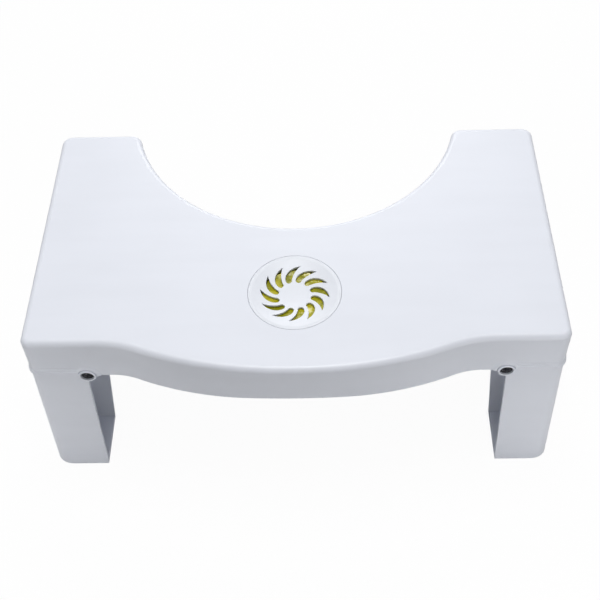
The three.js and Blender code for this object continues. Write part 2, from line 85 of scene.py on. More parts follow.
# %% Wires and trees
class Wire:
    """An output socket that can be added, multiplied and so on."""

    def __init__(self, tree, socket):
        self.tree = tree
        self.socket = socket

    def maths(self, operation, *values):
        return self.tree.node("ShaderNodeMath", {"operation": operation}, dict(enumerate(values)))[0]

    def __add__(self, other):
        return self.maths("ADD", self, other)

    def __radd__(self, other):
        return self.maths("ADD", other, self)

    def __sub__(self, other):
        return self.maths("SUBTRACT", self, other)

    def __rsub__(self, other):
        return self.maths("SUBTRACT", other, self)

    def __mul__(self, other):
        return self.maths("MULTIPLY", self, other)

    def __truediv__(self, other):
        return self.maths("DIVIDE", self, other)

    def __pow__(self, other):
        return self.maths("POWER", self, other)

    def __lt__(self, other):
        return self.maths("LESS_THAN", self, other)

    def __gt__(self, other):
        return self.maths("GREATER_THAN", self, other)

    def sine(self):
        return self.maths("SINE", self)

    def cosine(self):
        return self.maths("COSINE", self)

    def root(self):
        return self.maths("SQRT", self)

    def low(self, other):
        return self.maths("MINIMUM", self, other)

    def high(self, other):
        return self.maths("MAXIMUM", self, other)


class Tree:
    """A shader or geometry tree, with one method for every kind of node."""

    def __init__(self, tree):
        self.tree = tree
        self.count = 0

    def node(self, kind, settings=None, values=None):
        made = self.tree.nodes.new(kind)
        made.location = (180 * (self.count % 12), -220 * (self.count // 12))
        self.count += 1
        for name, value in (settings or {}).items():
            if name == "stops":
                while len(made.color_ramp.elements) < len(value):
                    made.color_ramp.elements.new(0.5)
                for element, (place, colour) in zip(made.color_ramp.elements, value):
                    element.position = place
                    element.color = colour
            else:
                setattr(made, name, value)
        for name, value in (values or {}).items():
            self.feed(made.inputs[name], value)
        return [Wire(self, socket) for socket in made.outputs if socket.enabled]

    def feed(self, socket, value):
        if isinstance(value, Wire):
            self.tree.links.new(value.socket, socket)
        elif isinstance(value, list):
            for wire in value:
                self.tree.links.new(wire.socket, socket)
        else:
            socket.default_value = value

    def split(self, vector):
        return self.node("ShaderNodeSeparateXYZ", None, {0: vector})

    def vector(self, x, y, z):
        return self.node("ShaderNodeCombineXYZ", None, {0: x, 1: y, 2: z})[0]

    def steps(self, value, low, high, first=0.0, last=1.0):
        """Runs value smoothly from first to last while it goes from low to high."""
        return self.node("ShaderNodeMapRange", {"interpolation_type": "SMOOTHSTEP"},
                         {0: value, 1: low, 2: high, 3: first, 4: last})[0]

    def mix(self, share, first, last):
        """Mixes two colours, each four numbers or a wire."""
        return self.node("ShaderNodeMix", {"data_type": "RGBA"}, {0: share, 6: first, 7: last})[0]


print("node helpers are ready")

# %% [markdown]
# ## White moulded plastic
# The deck and legs are one satin white plastic. Up close it isn't flat white: the mould leaves a very
# fine grain, the gloss wanders a little, and the flow of the melt leaves faint long streaks. All of it
# is small, so it only breaks up the highlights. Object coordinates keep it in place when a leg folds.

# %% Plastic finishes
def new_material(name, base, roughness, **sockets):
    """A Principled material with its plain values set on the shader itself."""
    material = bpy.data.materials.new(name)
    material.use_nodes = True
    shader = material.node_tree.nodes["Principled BSDF"]
    shader.inputs["Base Color"].default_value = (*base, 1)
    shader.inputs["Roughness"].default_value = roughness
    for socket, value in sockets.items():
        shader.inputs[socket.replace("_", " ")].default_value = value
    return material, shader, Tree(material.node_tree)


def moulded_plastic(name, base, roughness, grain_depth, streak_share):
    material, shader, tree = new_material(name, base, roughness, IOR=1.49)
    place = tree.node("ShaderNodeTexCoord")[3]
    grain = tree.node("ShaderNodeTexNoise", None, {"Vector": place, "Scale": 1500, "Detail": 3})[0]
    dimples = tree.node("ShaderNodeTexVoronoi", None, {"Vector": place, "Scale": 900})[0]
    drawn_out = tree.node("ShaderNodeMapping", None, {"Vector": place, "Scale": (9, 70, 70)})[0]
    streaks = tree.node("ShaderNodeTexNoise", None, {"Vector": drawn_out, "Scale": 1, "Detail": 4})[0]
    clouds = tree.node("ShaderNodeTexNoise", None, {"Vector": place, "Scale": 22, "Detail": 2})[0]

    tone = tree.steps(streaks * 0.6 + clouds * 0.4, 0.3, 0.7)
    paler = (*[min(c * (1 + streak_share), 1) for c in base], 1)
    deeper = (*[c * (1 - streak_share) for c in base], 1)
    tree.feed(shader.inputs["Base Color"], tree.mix(tone, deeper, paler))
    tree.feed(shader.inputs["Roughness"], roughness + (clouds - 0.5) * 0.12 + (grain - 0.5) * 0.08)
    relief = grain * 0.6 + dimples * 0.4 + streaks * 0.8
    bump = tree.node("ShaderNodeBump", None, {"Strength": 0.35, "Distance": grain_depth, "Height": relief})
    tree.feed(shader.inputs["Normal"], bump[0])
    return material


shell_white = (0.82, 0.847, 0.92)
insert_white = (0.815, 0.843, 0.905)
shell_plastic = moulded_plastic("white_satin_plastic", shell_white, 0.38, 0.03 * mm, 0.012)
insert_plastic = moulded_plastic("white_smooth_plastic", insert_white, 0.42, 0.015 * mm, 0.008)
print("plastics:", shell_plastic.name, insert_plastic.name)

# %% [markdown]
# ## Dark rubber, steel and scented gel
# Rubber is nearly black with a dusty bloom. The screws are blackened steel with lighter patches of bare
# metal, part wear and part painted glint, and the sleeves carry fine turning lines. The gel is an olive
# yellow cake with dark grains and painted pale glints in it, and a wet coat that shines in places.

# %% Rubber, steel and gel
def pad_rubber():
    material, shader, tree = new_material("dull_rubber", (0.035, 0.036, 0.038), 0.8)
    place = tree.node("ShaderNodeTexCoord")[3]
    bloom = tree.node("ShaderNodeTexNoise", None, {"Vector": place, "Scale": 160, "Detail": 5})[0]
    dust = tree.steps(bloom, 0.45, 0.75)
    tree.feed(shader.inputs["Base Color"], tree.mix(dust, (0.03, 0.031, 0.033, 1), (0.07, 0.07, 0.07, 1)))
    tree.feed(shader.inputs["Roughness"], 0.72 + dust * 0.18)
    grit = tree.node("ShaderNodeTexNoise", None, {"Vector": place, "Scale": 2500, "Detail": 2})[0]
    bump = tree.node("ShaderNodeBump", None, {"Strength": 0.5, "Distance": 0.05 * mm, "Height": grit})
    tree.feed(shader.inputs["Normal"], bump[0])
    return material


def steel(name, base, worn_glint_colour, roughness, line_scale):
    """Turned steel: fine rings across Y, which is the way every screw and sleeve points."""
    material, shader, tree = new_material(name, base, roughness, Metallic=1.0)
    place = tree.node("ShaderNodeTexCoord")[3]
    squeezed = tree.node("ShaderNodeMapping", None, {"Vector": place, "Scale": (80, line_scale, 80)})[0]
    lines = tree.node("ShaderNodeTexNoise", None, {"Vector": squeezed, "Scale": 1, "Detail": 3})[0]
    patches = tree.node("ShaderNodeTexNoise", None, {"Vector": place, "Scale": 420, "Detail": 4})[0]
    # Lighter patches of bare metal: part wear, and part painted glint on the black screw heads.
    rubbed_glint = tree.steps(patches, 0.52, 0.68)
    tree.feed(shader.inputs["Base Color"], tree.mix(rubbed_glint, (*base, 1), (*worn_glint_colour, 1)))
    tree.feed(shader.inputs["Roughness"], roughness + (lines - 0.5) * 0.25 - rubbed_glint * 0.08)
    bump = tree.node("ShaderNodeBump", None, {"Strength": 0.3, "Distance": 0.02 * mm, "Height": lines})
    tree.feed(shader.inputs["Normal"], bump[0])
    return material


def gel(name):
    base = (0.36, 0.34, 0.006)
    material, shader, tree = new_material(name, base, 0.25, IOR=1.42, Coat_Roughness=0.06)
    place = tree.node("ShaderNodeTexCoord")[3]
    depth = tree.node("ShaderNodeTexNoise", None, {"Vector": place, "Scale": 120, "Detail": 4})[0]
    grains = tree.node("ShaderNodeTexVoronoi", None, {"Vector": place, "Scale": 380})
    # Pale specks are painted glints that stand in for light caught by the wet gel.
    painted_glints = tree.steps(grains[0], 0.12, 0.26, 1.0, 0.0) * tree.steps(depth, 0.5, 0.62)
    dark = tree.steps(grains[0], 0.1, 0.22, 1.0, 0.0) * tree.steps(depth, 0.34, 0.46, 1.0, 0.0)
    body = tree.mix(tree.steps(depth, 0.35, 0.65), (0.23, 0.23, 0.003, 1), (0.48, 0.43, 0.005, 1))
    # The painted glints go into the gel's colour as pale specks.
    with_painted_glints = tree.mix(painted_glints * 0.5, body, (0.85, 0.85, 0.62, 1))
    tree.feed(shader.inputs["Base Color"], tree.mix(dark * 0.8, with_painted_glints, (0.06, 0.08, 0.01, 1)))
    tree.feed(shader.inputs["Roughness"], 0.18 + depth * 0.2)
    tree.feed(shader.inputs["Coat Weight"], tree.steps(depth, 0.52, 0.62, 0.0, 0.7))
    lumps = depth * 0.7 + grains[0] * 0.5
    bump = tree.node("ShaderNodeBump", None, {"Strength": 0.5, "Distance": 0.3 * mm, "Height": lumps})
    tree.feed(shader.inputs["Normal"], bump[0])
    return material


foot_rubber = pad_rubber()
dark_steel = steel("blackened_steel", (0.02, 0.02, 0.024), (0.12, 0.12, 0.13), 0.4, 5000)
bright_steel = steel("turned_steel", (0.56, 0.57, 0.58), (0.68, 0.69, 0.7), 0.28, 5000)
scent_gel = gel("olive_gel")
print("other finishes:", foot_rubber.name, dark_steel.name, bright_steel.name, scent_gel.name)

# %% [markdown]
# ## From points to a finished mesh
# Most pieces start as rows of points that are skinned into faces: a stack of outlines, a profile that
# is turned, or an outline that is pushed through. Booleans then fuse and cut the bodies, as the mould's
# cores do, and a small bevel on each open rim catches the light as a moulded edge does.

# %% Mesh helpers
weld_distance = 0.002 * mm
sliver = 0.001 * mm
overrun = 2 * mm
bevel_angle = math.radians(50)


def place_object(name, mesh):
    thing = bpy.data.objects.new(name, mesh)
    bpy.context.scene.collection.objects.link(thing)
    return thing


def mesh_object(name, points, faces):
    mesh = bpy.data.meshes.new(name)
    mesh.from_pydata([tuple(p) for p in points], [], faces)
    body = bmesh.new()
    body.from_mesh(mesh)
    bmesh.ops.remove_doubles(body, verts=body.verts, dist=weld_distance)
    bmesh.ops.dissolve_degenerate(body, edges=body.edges, dist=sliver)
    bmesh.ops.recalc_face_normals(body, faces=body.faces)
    body.to_mesh(mesh)
    body.free()
    return place_object(name, mesh)


def settle(thing):
    """Turns an object with modifiers into one with a plain mesh."""
    graph = bpy.context.evaluated_depsgraph_get()
    mesh = bpy.data.meshes.new_from_object(thing.evaluated_get(graph))
    thing.modifiers.clear()
    thing.data = mesh
    return thing


def with_modifier(thing, kind, **settings):
    modifier = thing.modifiers.new(kind.lower(), kind)
    for name, value in settings.items():
        setattr(modifier, name, value)
    return settle(thing)


def combine(thing, tool, operation):
    """Fuses a tool into a body, cuts it away, or keeps what both share. The tool is used up."""
    with_modifier(thing, "BOOLEAN", object=tool, operation=operation, solver="MANIFOLD")
    bpy.data.objects.remove(tool)
    return thing


def fuse(thing, *tools):
    for tool in tools:
        combine(thing, tool, "UNION")
    return thing


def carve(thing, *tools):
    for tool in tools:
        combine(thing, tool, "DIFFERENCE")
    return thing


def joined(name, things):
    """Puts bodies that don't touch into one object."""
    body = bmesh.new()
    for thing in things:
        body.from_mesh(thing.data)
        bpy.data.objects.remove(thing)
    mesh = bpy.data.meshes.new(name)
    body.to_mesh(mesh)
    body.free()
    return place_object(name, mesh)


def moved_copy(thing, matrix):
    """A copy whose mesh is moved or mirrored, with its faces still outward."""
    mesh = thing.data.copy()
    mesh.transform(matrix)
    if matrix.determinant() < 0:
        mesh.flip_normals()
    return place_object(thing.name, mesh)


print("mesh helpers are ready")

# %% [markdown]
# ## Skins, prisms and turned shapes
# `loft` skins a stack of closed rows, `prism` pushes an outline straight through, and `turned` spins a
# profile about an axis. Each one gives a closed body, which is what the booleans need.

# %% Closed bodies from rows
def loft(name, rows):
    count = len(rows[0])
    faces = [tuple(reversed(range(count)))]
    for level in range(len(rows) - 1):
        for i in range(count):
            low = level * count + i
            low_next = level * count + (i + 1) % count
            faces.append((low, low_next, low_next + count, low + count))
    top = (len(rows) - 1) * count
    faces.append(tuple(range(top, top + count)))
    return mesh_object(name, [p for row in rows for p in row], faces)


def prism(name, outline, start, push):
    """Pushes an outline of 3-D points along a vector."""
    near = [Vector(p) + Vector(start) for p in outline]
    return loft(name, [near, [p + Vector(push) for p in near]])


def turned(name, profile, centre, axis, steps=96):
    """Spins [radius, height] points about Y or Z through a centre. The profile runs from axis to axis,
    or closes on itself."""
    hollow = profile[0][0] > 0
    points = []
    for radius, height in profile:
        for i in range(steps):
            angle = 2 * math.pi * i / steps
            across, aside = radius * math.cos(angle), radius * math.sin(angle)
            offset = (across, aside, height) if axis == "Z" else (across, height, -aside)
            points.append(Vector(centre) + Vector(offset))
    faces = []
    rings = len(profile) if hollow else len(profile) - 1
    for ring in range(rings):
        for i in range(steps):
            a = ring * steps + i
            b = ring * steps + (i + 1) % steps
            c = ((ring + 1) % len(profile)) * steps + (i + 1) % steps
            d = ((ring + 1) % len(profile)) * steps + i
            faces.append((a, b, c, d))
    return mesh_object(name, points, faces)


def arc(x, y, radius, start, end, steps):
    """Points on an arc, from one angle to another in degrees."""
    angles = [math.radians(start + (end - start) * i / steps) for i in range(steps + 1)]
    return [Vector((x + radius * math.cos(a), y + radius * math.sin(a))) for a in angles]


print("shape helpers are ready")

# %% [markdown]
# ## The sizes that everything follows
# The frame gives what it knows: the boxes of the nodes and the axes of the hinges. The rest are the
# mould's own sizes. All places are in metres in the frame of the CAD, with Y running to the back.

# %% Sizes
shell_low, shell_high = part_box("top_shell")
leg_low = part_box("right_leg")[0]
lid_low, lid_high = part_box("scent_lid")
hinge = Vector(joints["right_leg_fold"]["pos_m"])

wall = 3 * mm
deck_top = shell_high.z
deck_half = 192.5 * mm
deck_depth = 212 * mm
front_y = hinge.y - deck_depth / 2
back_y = hinge.y + deck_depth / 2
skirt_bottom = deck_top - 38.4 * mm
seam_z = skirt_bottom + 2.0 * mm
leg_top = skirt_bottom + 1.6 * mm
edge_radius = 4.5 * mm
rim_start = deck_top - edge_radius
draft = math.tan(math.radians(1))
leg_front = front_y - (rim_start - seam_z) * draft
leg_back = back_y + (rim_start - seam_z) * draft
boss_front = leg_front - 1.9 * mm
insert = Vector(((lid_low.x + lid_high.x) / 2, (lid_low.y + lid_high.y) / 2, deck_top))
print("deck", round(deck_half * 2000), "x", round(deck_depth * 1000), "mm, hinge at", hinge)

# %% [markdown]
# ## The deck's outline
# Seen from above, the deck is a rectangle with a shallow bulge in front and a deep round notch behind.
# The bulge is nearly flat in the middle, rounder beside it, and runs into the front in a long concave
# blend. Going down the skirt it gets flatter and its blends tighter. Every arc is worked out from the
# ones beside it, so that the outline stays smooth when it is grown or shrunk for the draft.

# %% Outline of the deck
bulge_reach = front_y - shell_low.y
bulge_tuck = 2.8 * mm
bulge_middle_radius = 734 * mm
bulge_middle_half = (8 * mm, 33.8 * mm)  # at the rim, and at the skirt's lower edge
bulge_shoulder = (8.5 * mm, 17.6 * mm)
bulge_blend = (93 * mm, 52 * mm)
notch_radius = 130.8 * mm
notch_centre = back_y + 25.6 * mm
mouth_radius = 9 * mm
front_corner = 7 * mm
back_corner = 8.5 * mm
step_half = 0.4 * mm


def share_down(z):
    """How far down the skirt a height is: 0 at the rim and 1 at the lower edge."""
    return max(rim_start - z, 0) / (rim_start - skirt_bottom)


def between(pair, z):
    return pair[0] + (pair[1] - pair[0]) * share_down(z)


def reach_at(z):
    return bulge_reach - bulge_tuck * share_down(z)


def growth_at(z):
    return max(rim_start - z, 0) * draft


def bulge_outline(growth, z):
    """Right half of the bulge at a height: a flat middle arc, a side arc and a concave blend."""
    half, blend = between(bulge_middle_half, z), between(bulge_blend, z)
    span = hinge.x - between(bulge_shoulder, z)
    middle_y = bulge_middle_radius - reach_at(z)
    sine = half / bulge_middle_radius
    cosine = math.sqrt(1 - sine ** 2)
    meet_y = middle_y - bulge_middle_radius * cosine
    across = span - half
    radius = (across ** 2 + meet_y ** 2 + 2 * meet_y * blend) / (
        2 * (blend - sine * across - cosine * (meet_y + blend)))
    side_x, side_y = half - radius * sine, meet_y + radius * cosine
    meet = math.degrees(math.asin(sine)) - 90
    turn = math.degrees(math.atan2(-blend - side_y, span - side_x))
    points = arc(0, front_y + middle_y, bulge_middle_radius + growth, -90, meet, 8)
    points += arc(side_x, front_y + side_y, radius + growth, meet, turn, 30)[1:]
    return points + arc(span, front_y - blend, blend - growth, turn + 180, 90, 14)[1:]


def deck_outline(growth, z):
    """The outline as x, y points, anticlockwise from the middle of the bulge."""
    front, back = front_y, back_y + growth
    half = deck_half + growth
    corner, rear = max(front_corner + growth, 0.5 * mm), max(back_corner + growth, 0.5 * mm)
    mouth, throat = max(mouth_radius + growth, 0.5 * mm), notch_radius - growth
    mouth_y = back - mouth
    mouth_x = math.sqrt((throat + mouth) ** 2 - (notch_centre - mouth_y) ** 2)
    turn = math.degrees(math.atan2(notch_centre - mouth_y, -mouth_x))

    steps_x = [hinge.x - step_half, hinge.x + step_half]
    right = bulge_outline(growth, z)
    right += [Vector((x, front - growth)) for x in steps_x]
    right += arc(half - corner, front - growth + corner, corner, -90, 0, 12)
    right += arc(half - rear, back - rear, rear, 0, 90, 12)
    right += [Vector((x, back)) for x in reversed(steps_x)]
    right += arc(mouth_x, mouth_y, mouth, 90, turn, 12)
    right += arc(0, notch_centre, throat, turn - 180, -90, 64)[1:]
    right[0].x = 0
    right[-1].x = 0
    return right + [Vector((-p.x, p.y)) for p in reversed(right[1:-1])]


print(len(deck_outline(0, rim_start)), "points round the deck")

# %% [markdown]
# ## The deck's skin
# The skirt leans out by one degree so that it leaves the mould, and its top edge is a quarter round.
# Over each leg the skirt ends two millimetres higher and carries a raised lip, which hides the seam: a
# bead at the edge and a shallower step above it. The skin is an outer and an inner surface that meet
# in a rounded rim.

# %% Skin of the deck
bead_proud, bead_top, bead_fade = 1.1 * mm, seam_z + 2.4 * mm, 0.7 * mm
lip_proud, lip_top, lip_fade = 0.5 * mm, seam_z + 5.6 * mm, 0.7 * mm
rim_bevel = 0.5 * mm


def over_leg(point):
    return abs(point.x) > hinge.x


def fade(z, top, length):
    """1 below the top of a step and 0 past its fade, with an easy run between."""
    t = min(max((z - top) / length, 0), 1)
    return (1 + math.cos(math.pi * t)) / 2


def lip_at(z):
    return (bead_proud - lip_proud) * fade(z, bead_top, bead_fade) + lip_proud * fade(z, lip_top, lip_fade)


def deck_row(z, inset, level):
    """One row of the skin. Level 0 is the skirt's lower edge, which is higher over the legs."""
    high = seam_z if level == 0 else z
    plain = deck_outline(growth_at(z) - inset, z)
    raised = deck_outline(growth_at(high) - inset + lip_at(high), high)
    return [Vector((r.x, r.y, high)) if over_leg(p) else Vector((p.x, p.y, z))
            for p, r in zip(plain, raised)]


def rounded_top(start, inset, radius, steps):
    """Rows of the quarter round from a skin's upright wall to its flat top."""
    rows = []
    for i in range(1, steps + 1):
        angle = math.pi / 2 * i / steps
        pulled = inset + radius * (1 - math.cos(angle))
        rows.append((start + radius * math.sin(angle), pulled))
    return rows


def skin_rows(inset, radius):
    top = deck_top - inset
    quarters = [0, 0.25, 0.5, 0.75, 1]
    upright = [skirt_bottom, seam_z + mm, *[bead_top + bead_fade * q for q in quarters],
               *[lip_top + lip_fade * q for q in quarters], top - radius]
    rows = [deck_row(z, inset, level) for level, z in enumerate(upright)]
    for z, pulled in rounded_top(top - radius, inset, radius, 10):
        rows.append([Vector((p.x, p.y, z)) for p in deck_outline(-pulled, rim_start)])
    return rows


def double_skin(name, outer, inner):
    """Closes an outer and an inner stack of rows along their first row."""
    count, levels = len(outer[0]), len(outer)
    points = [p for row in outer + inner for p in row]
    shift = levels * count
    faces = [tuple(range((levels - 1) * count, levels * count)),
             tuple(reversed(range(shift + (levels - 1) * count, shift + levels * count)))]
    for i in range(count):
        following = (i + 1) % count
        for level in range(levels - 1):
            a, b = level * count + i, level * count + following
            faces.append((a, b, b + count, a + count))
            faces.append((shift + b, shift + a, shift + a + count, shift + b + count))
        faces.append((following, i, shift + i, shift + following))
    return mesh_object(name, points, faces)


deck = double_skin("deck_shell", skin_rows(0, edge_radius), skin_rows(wall, edge_radius - wall))
with_modifier(deck, "BEVEL", width=rim_bevel, segments=3, limit_method="ANGLE", angle_limit=bevel_angle)
print("deck skin:", len(deck.data.polygons), "faces")

# %% [markdown]
# ## Trees that make parts
# Ribs, slots, screws and pads repeat, so Geometry Nodes place them. Each tree has named inputs, and
# ends in Realize Instances and Set Material, so that the result is one plain mesh with its finish.

# %% Geometry trees
socket_kinds = {"Count": "Int", "Material": "Material", "Geometry": "Geometry", "First": "Vector",
                "Step": "Vector", "Size": "Vector"}


class PartTree(Tree):
    """A geometry tree. Inputs are numbers unless socket_kinds says otherwise."""

    def __init__(self, name, *labels):
        group = bpy.data.node_groups.new(name, "GeometryNodeTree")
        super().__init__(group)
        self.sockets = {}
        for label in ("Geometry", "Material", *labels):
            kind = "NodeSocket" + socket_kinds.get(label, "Float")
            self.sockets[label] = group.interface.new_socket(label, in_out="INPUT", socket_type=kind)
        group.interface.new_socket("Geometry", in_out="OUTPUT", socket_type="NodeSocketGeometry")
        source = group.nodes.new("NodeGroupInput")
        self.given = {socket.name: Wire(self, socket) for socket in source.outputs if socket.name}

    def end(self, geometry):
        real = self.node("GeometryNodeRealizeInstances", None, {0: geometry})[0]
        finished = self.node("GeometryNodeSetMaterial", None,
                             {"Geometry": real, "Material": self.given["Material"]})[0]
        output = self.tree.nodes.new("NodeGroupOutput")
        self.tree.links.new(finished.socket, output.inputs[0])

    def make(self, name, material, source=None, **values):
        """Runs the tree on a source object, or on nothing, and gives a plain mesh object."""
        thing = source or place_object(name, bpy.data.meshes.new(name))
        thing.name = name
        modifier = thing.modifiers.new("tree", "NODES")
        modifier.node_group = self.tree
        for label, value in {"Material": material, **values}.items():
            modifier[self.sockets[label.replace("_", " ")].identifier] = value
        return settle(thing)


print("tree maker is ready")

# %% [markdown]
# ## Ribs under the deck
# A thin deck would bend under a person's feet, so its hollow side has a grid of ribs. One tree sets a
# row of bars, and is used for each direction. The bars start too long, and are trimmed by the shape of
# the deck's own inside so that every end follows the wall.

# %% Rib tree
ribs_tree = PartTree("row_of_bars", "Count", "First", "Step", "Size")
line = ribs_tree.node("GeometryNodeMeshLine", {"mode": "OFFSET"},
                      {"Count": ribs_tree.given["Count"], "Start Location": ribs_tree.given["First"],
                       "Offset": ribs_tree.given["Step"]})[0]
bar = ribs_tree.node("GeometryNodeMeshCube", None, {"Size": ribs_tree.given["Size"]})[0]
ribs_tree.end(ribs_tree.node("GeometryNodeInstanceOnPoints", None, {"Points": line, "Instance": bar})[0])


def row_of_bars(name, count, first, step, size, material=shell_plastic):
    return ribs_tree.make(name, material, Count=count, First=first, Step=step, Size=size)


# %% Ribs of the deck
rib_thickness = 2 * mm
rib_depth = 14 * mm
long_rib_depth = 12.5 * mm
rib_spacing = 36 * mm
rib_sink = 1 * mm
front_rib = front_y + 16 * mm
middle_rib = front_y + 78 * mm
deck_underside = deck_top - wall
rib_low = deck_underside - rib_depth
rib_middle = (rib_low + deck_underside + rib_sink) / 2
rib_height = rib_depth + rib_sink

inside_top = deck_underside + 1.2 * mm
lines_each_side = int((deck_half - wall * 2) / rib_spacing)
cross_ribs = row_of_bars("cross_ribs", 2 * lines_each_side + 1,
                         (-lines_each_side * rib_spacing, hinge.y, rib_middle), (rib_spacing, 0, 0),
                         (rib_thickness, deck_depth * 1.5, rib_height))
long_ribs = row_of_bars("long_ribs", 2, (0, front_rib, rib_middle + (rib_depth - long_rib_depth) / 2),
                        (0, middle_rib - front_rib, 0),
                        (deck_half * 2.2, rib_thickness, long_rib_depth + rib_sink))
inside_rows = [deck_row(z, wall / 2, 1) for z in (rib_low - overrun, inside_top)]
inside = loft("inside", inside_rows)
ribs = combine(fuse(cross_ribs, long_ribs), inside, "INTERSECT")
print("ribs:", 2 * lines_each_side + 1, "across and 2 along,", len(ribs.data.polygons), "faces")

# %% [markdown]
# ## Seat for the scent insert
# The insert hangs in a round well. Its step carries the flange of the cup and the lid, and a collar
# below guides the cup. The cutter flares a little at the top, which rounds the edge of the hole.

# %% Well
lid_radius = (lid_high.x - lid_low.x) / 2
cup_low, cup_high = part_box("scent_cup")
cup_radius = 29.4 * mm
clearance = 0.3 * mm
seam_gap = 0.2 * mm
well_radius = lid_radius + seam_gap
well_step = cup_high.z - 1.8 * mm
well_bottom = well_step - 2.6 * mm
well_edge = 0.15 * mm
collar_wall = 2.5 * mm
seat_wall = 2.6 * mm


def rounded(corner_r, corner_z, radius, start, end, steps=6):
    """Profile points of a rounded edge, from one angle to another in degrees."""
    return [(p.x, p.y) for p in arc(corner_r, corner_z, radius, start, end, steps)]


collar_radius = cup_radius + collar_wall
seat_radius = well_radius + seat_wall
well_profile = [(0, rib_low), (collar_radius, rib_low), (collar_radius, well_bottom),
                (seat_radius, well_bottom), (seat_radius, deck_underside + rib_sink),
                (0, deck_underside + rib_sink)]
well = turned("well", well_profile, (insert.x, insert.y, 0), "Z", 128)
flare = [(2 * (well_radius + well_edge) - r, z) for r, z in
         rounded(well_radius + well_edge, deck_top - well_edge, well_edge, 0, 90)]
hole_profile = [(0, rib_low - overrun), (cup_radius + clearance, rib_low - overrun),
                (cup_radius + clearance, well_step), (well_radius, well_step), *flare,
                (well_radius + well_edge, deck_top + overrun), (0, deck_top + overrun)]
well_hole = turned("well_hole", hole_profile, (insert.x, insert.y, 0), "Z", 128)
print("well is", round(well_radius * 2000, 1), "mm wide")

# %% [markdown]
# ## Pivots in the skirt
# At each corner the skirt rises in a small round arch over the leg's pivot boss, with a raised lip
# that follows the arch. Behind it, inside the deck, a cheek with a boss and a gusset takes the screw.
# They are made once for the right front corner and mirrored to the others.

# %% Arches, cheeks and screw holes
boss_radius = 6.2 * mm
boss_root = boss_radius + 0.2 * mm
knuckle_back = leg_front + 6.6 * mm
cheek_front = knuckle_back + clearance
cheek_thickness = 5 * mm
cheek_back = cheek_front + cheek_thickness
cheek_radius = 8 * mm
cheek_spread = 14 * mm
cheek_boss = 5.5 * mm
cheek_boss_back = cheek_back + 5.6 * mm
gusset = 2.4 * mm
shank_radius = 1.9 * mm
arch_radius = boss_root + seam_gap
arch_flat = 0.6 * mm
arch_run = 3.8 * mm
arch_proud = 1.2 * mm
arch_sink = 0.3 * mm
arch_lead = 0.4 * mm
lead_depth = 0.5 * mm
blind_wall = 0.6 * mm
cheek_bevel = 0.4 * mm
web_reach = 30 * mm
web_toe = 7 * mm
tie_gap = 7 * mm
fall_steps = 14
trim_depth = 20 * mm
trim_height = 30 * mm
trim_side = 1 * mm
corner_signs = [(1, 1), (1, -1), (-1, 1), (-1, -1)]
root_z = deck_underside + rib_sink
axis_start = (hinge.x, 0, hinge.z)


def corner_matrix(side, end):
    """Takes the right front corner to another one. End is 1 for the front and -1 for the back."""
    middle = Matrix.Translation((0, hinge.y, 0))
    return middle @ Matrix.Diagonal((side, end, 1, 1)) @ middle.inverted()


def at_corners(thing, signs=corner_signs):
    made = joined(thing.name, [moved_copy(thing, corner_matrix(*pair)) for pair in signs])
    bpy.data.objects.remove(thing)
    return made


face = leg_front - arch_proud
outer_edge = arch_radius + arch_flat + arch_run
fall = []
for step in range(fall_steps + 1):
    sink = (1 - math.cos(math.pi * step / fall_steps)) / 2
    fall.append((arch_radius + arch_flat + arch_run * step / fall_steps,
                 face + (arch_proud + arch_sink) * sink))
swelling_profile = [(0, face), *fall, (outer_edge, front_y + wall / 2), (0, front_y + wall / 2)]
swelling = turned("swelling", swelling_profile, axis_start, "Y", 144)
for low_x, top_z in ((-outer_edge - trim_side, skirt_bottom), (0, seam_z)):
    block = (outer_edge + trim_side - low_x, trim_depth, trim_height)
    middle = (hinge.x + low_x + block[0] / 2, face, top_z - block[2] / 2)
    carve(swelling, row_of_bars("below_skirt", 1, middle, (0, 0, 0), block))
hole_start = cheek_front - clearance
hole_end = cheek_boss_back - blind_wall
hole_radius = shank_radius + clearance
lead_radius = arch_radius + arch_lead
arch_profile = [(0, face - overrun), (lead_radius, face - overrun), (lead_radius, face),
                (arch_radius, face + lead_depth), (arch_radius, hole_start), (0, hole_start)]
arch_cut = turned("arch_cut", arch_profile, axis_start, "Y")
screw_hole = turned("screw_hole", [(0, hole_start), (hole_radius, hole_start), (hole_radius, hole_end),
                                   (0, hole_end)], axis_start, "Y", 32)


def cheek():
    lower = arc(hinge.x, hinge.z, cheek_radius, 180, 360, 32)
    outline = [(hinge.x - cheek_spread, 0, root_z), *[(p.x, 0, p.y) for p in lower],
               (hinge.x + cheek_spread, 0, root_z)]
    plate = prism("cheek", outline, (0, cheek_front, 0), (0, cheek_thickness, 0))
    with_modifier(plate, "BEVEL", width=cheek_bevel, segments=2, limit_method="ANGLE",
                  angle_limit=bevel_angle)
    middle = (cheek_front + cheek_back) / 2
    boss_profile = [(0, middle), (cheek_boss, middle), (cheek_boss, hole_end),
                    (cheek_boss - blind_wall, cheek_boss_back), (0, cheek_boss_back)]
    boss = turned("boss", boss_profile, axis_start, "Y", 48)
    foot = hinge.z + cheek_boss + gusset
    rise = [(0, cheek_back - rib_sink, root_z), (0, cheek_back - rib_sink, foot),
            (0, cheek_back + web_reach, deck_underside - web_toe), (0, cheek_back + web_reach, root_z)]
    web = prism("web", rise, (hinge.x - gusset / 2, 0, 0), (gusset, 0, 0))
    tie_low, tie_y = hinge.z + boss_radius + tie_gap, leg_front + wall - rib_sink
    tie = [(0, tie_y, tie_low), (0, cheek_front + rib_sink, tie_low), (0, cheek_front + rib_sink, root_z),
           (0, tie_y, root_z)]
    return fuse(plate, boss, web, prism("tie", tie, (hinge.x - gusset / 2, 0, 0), (gusset, 0, 0)))


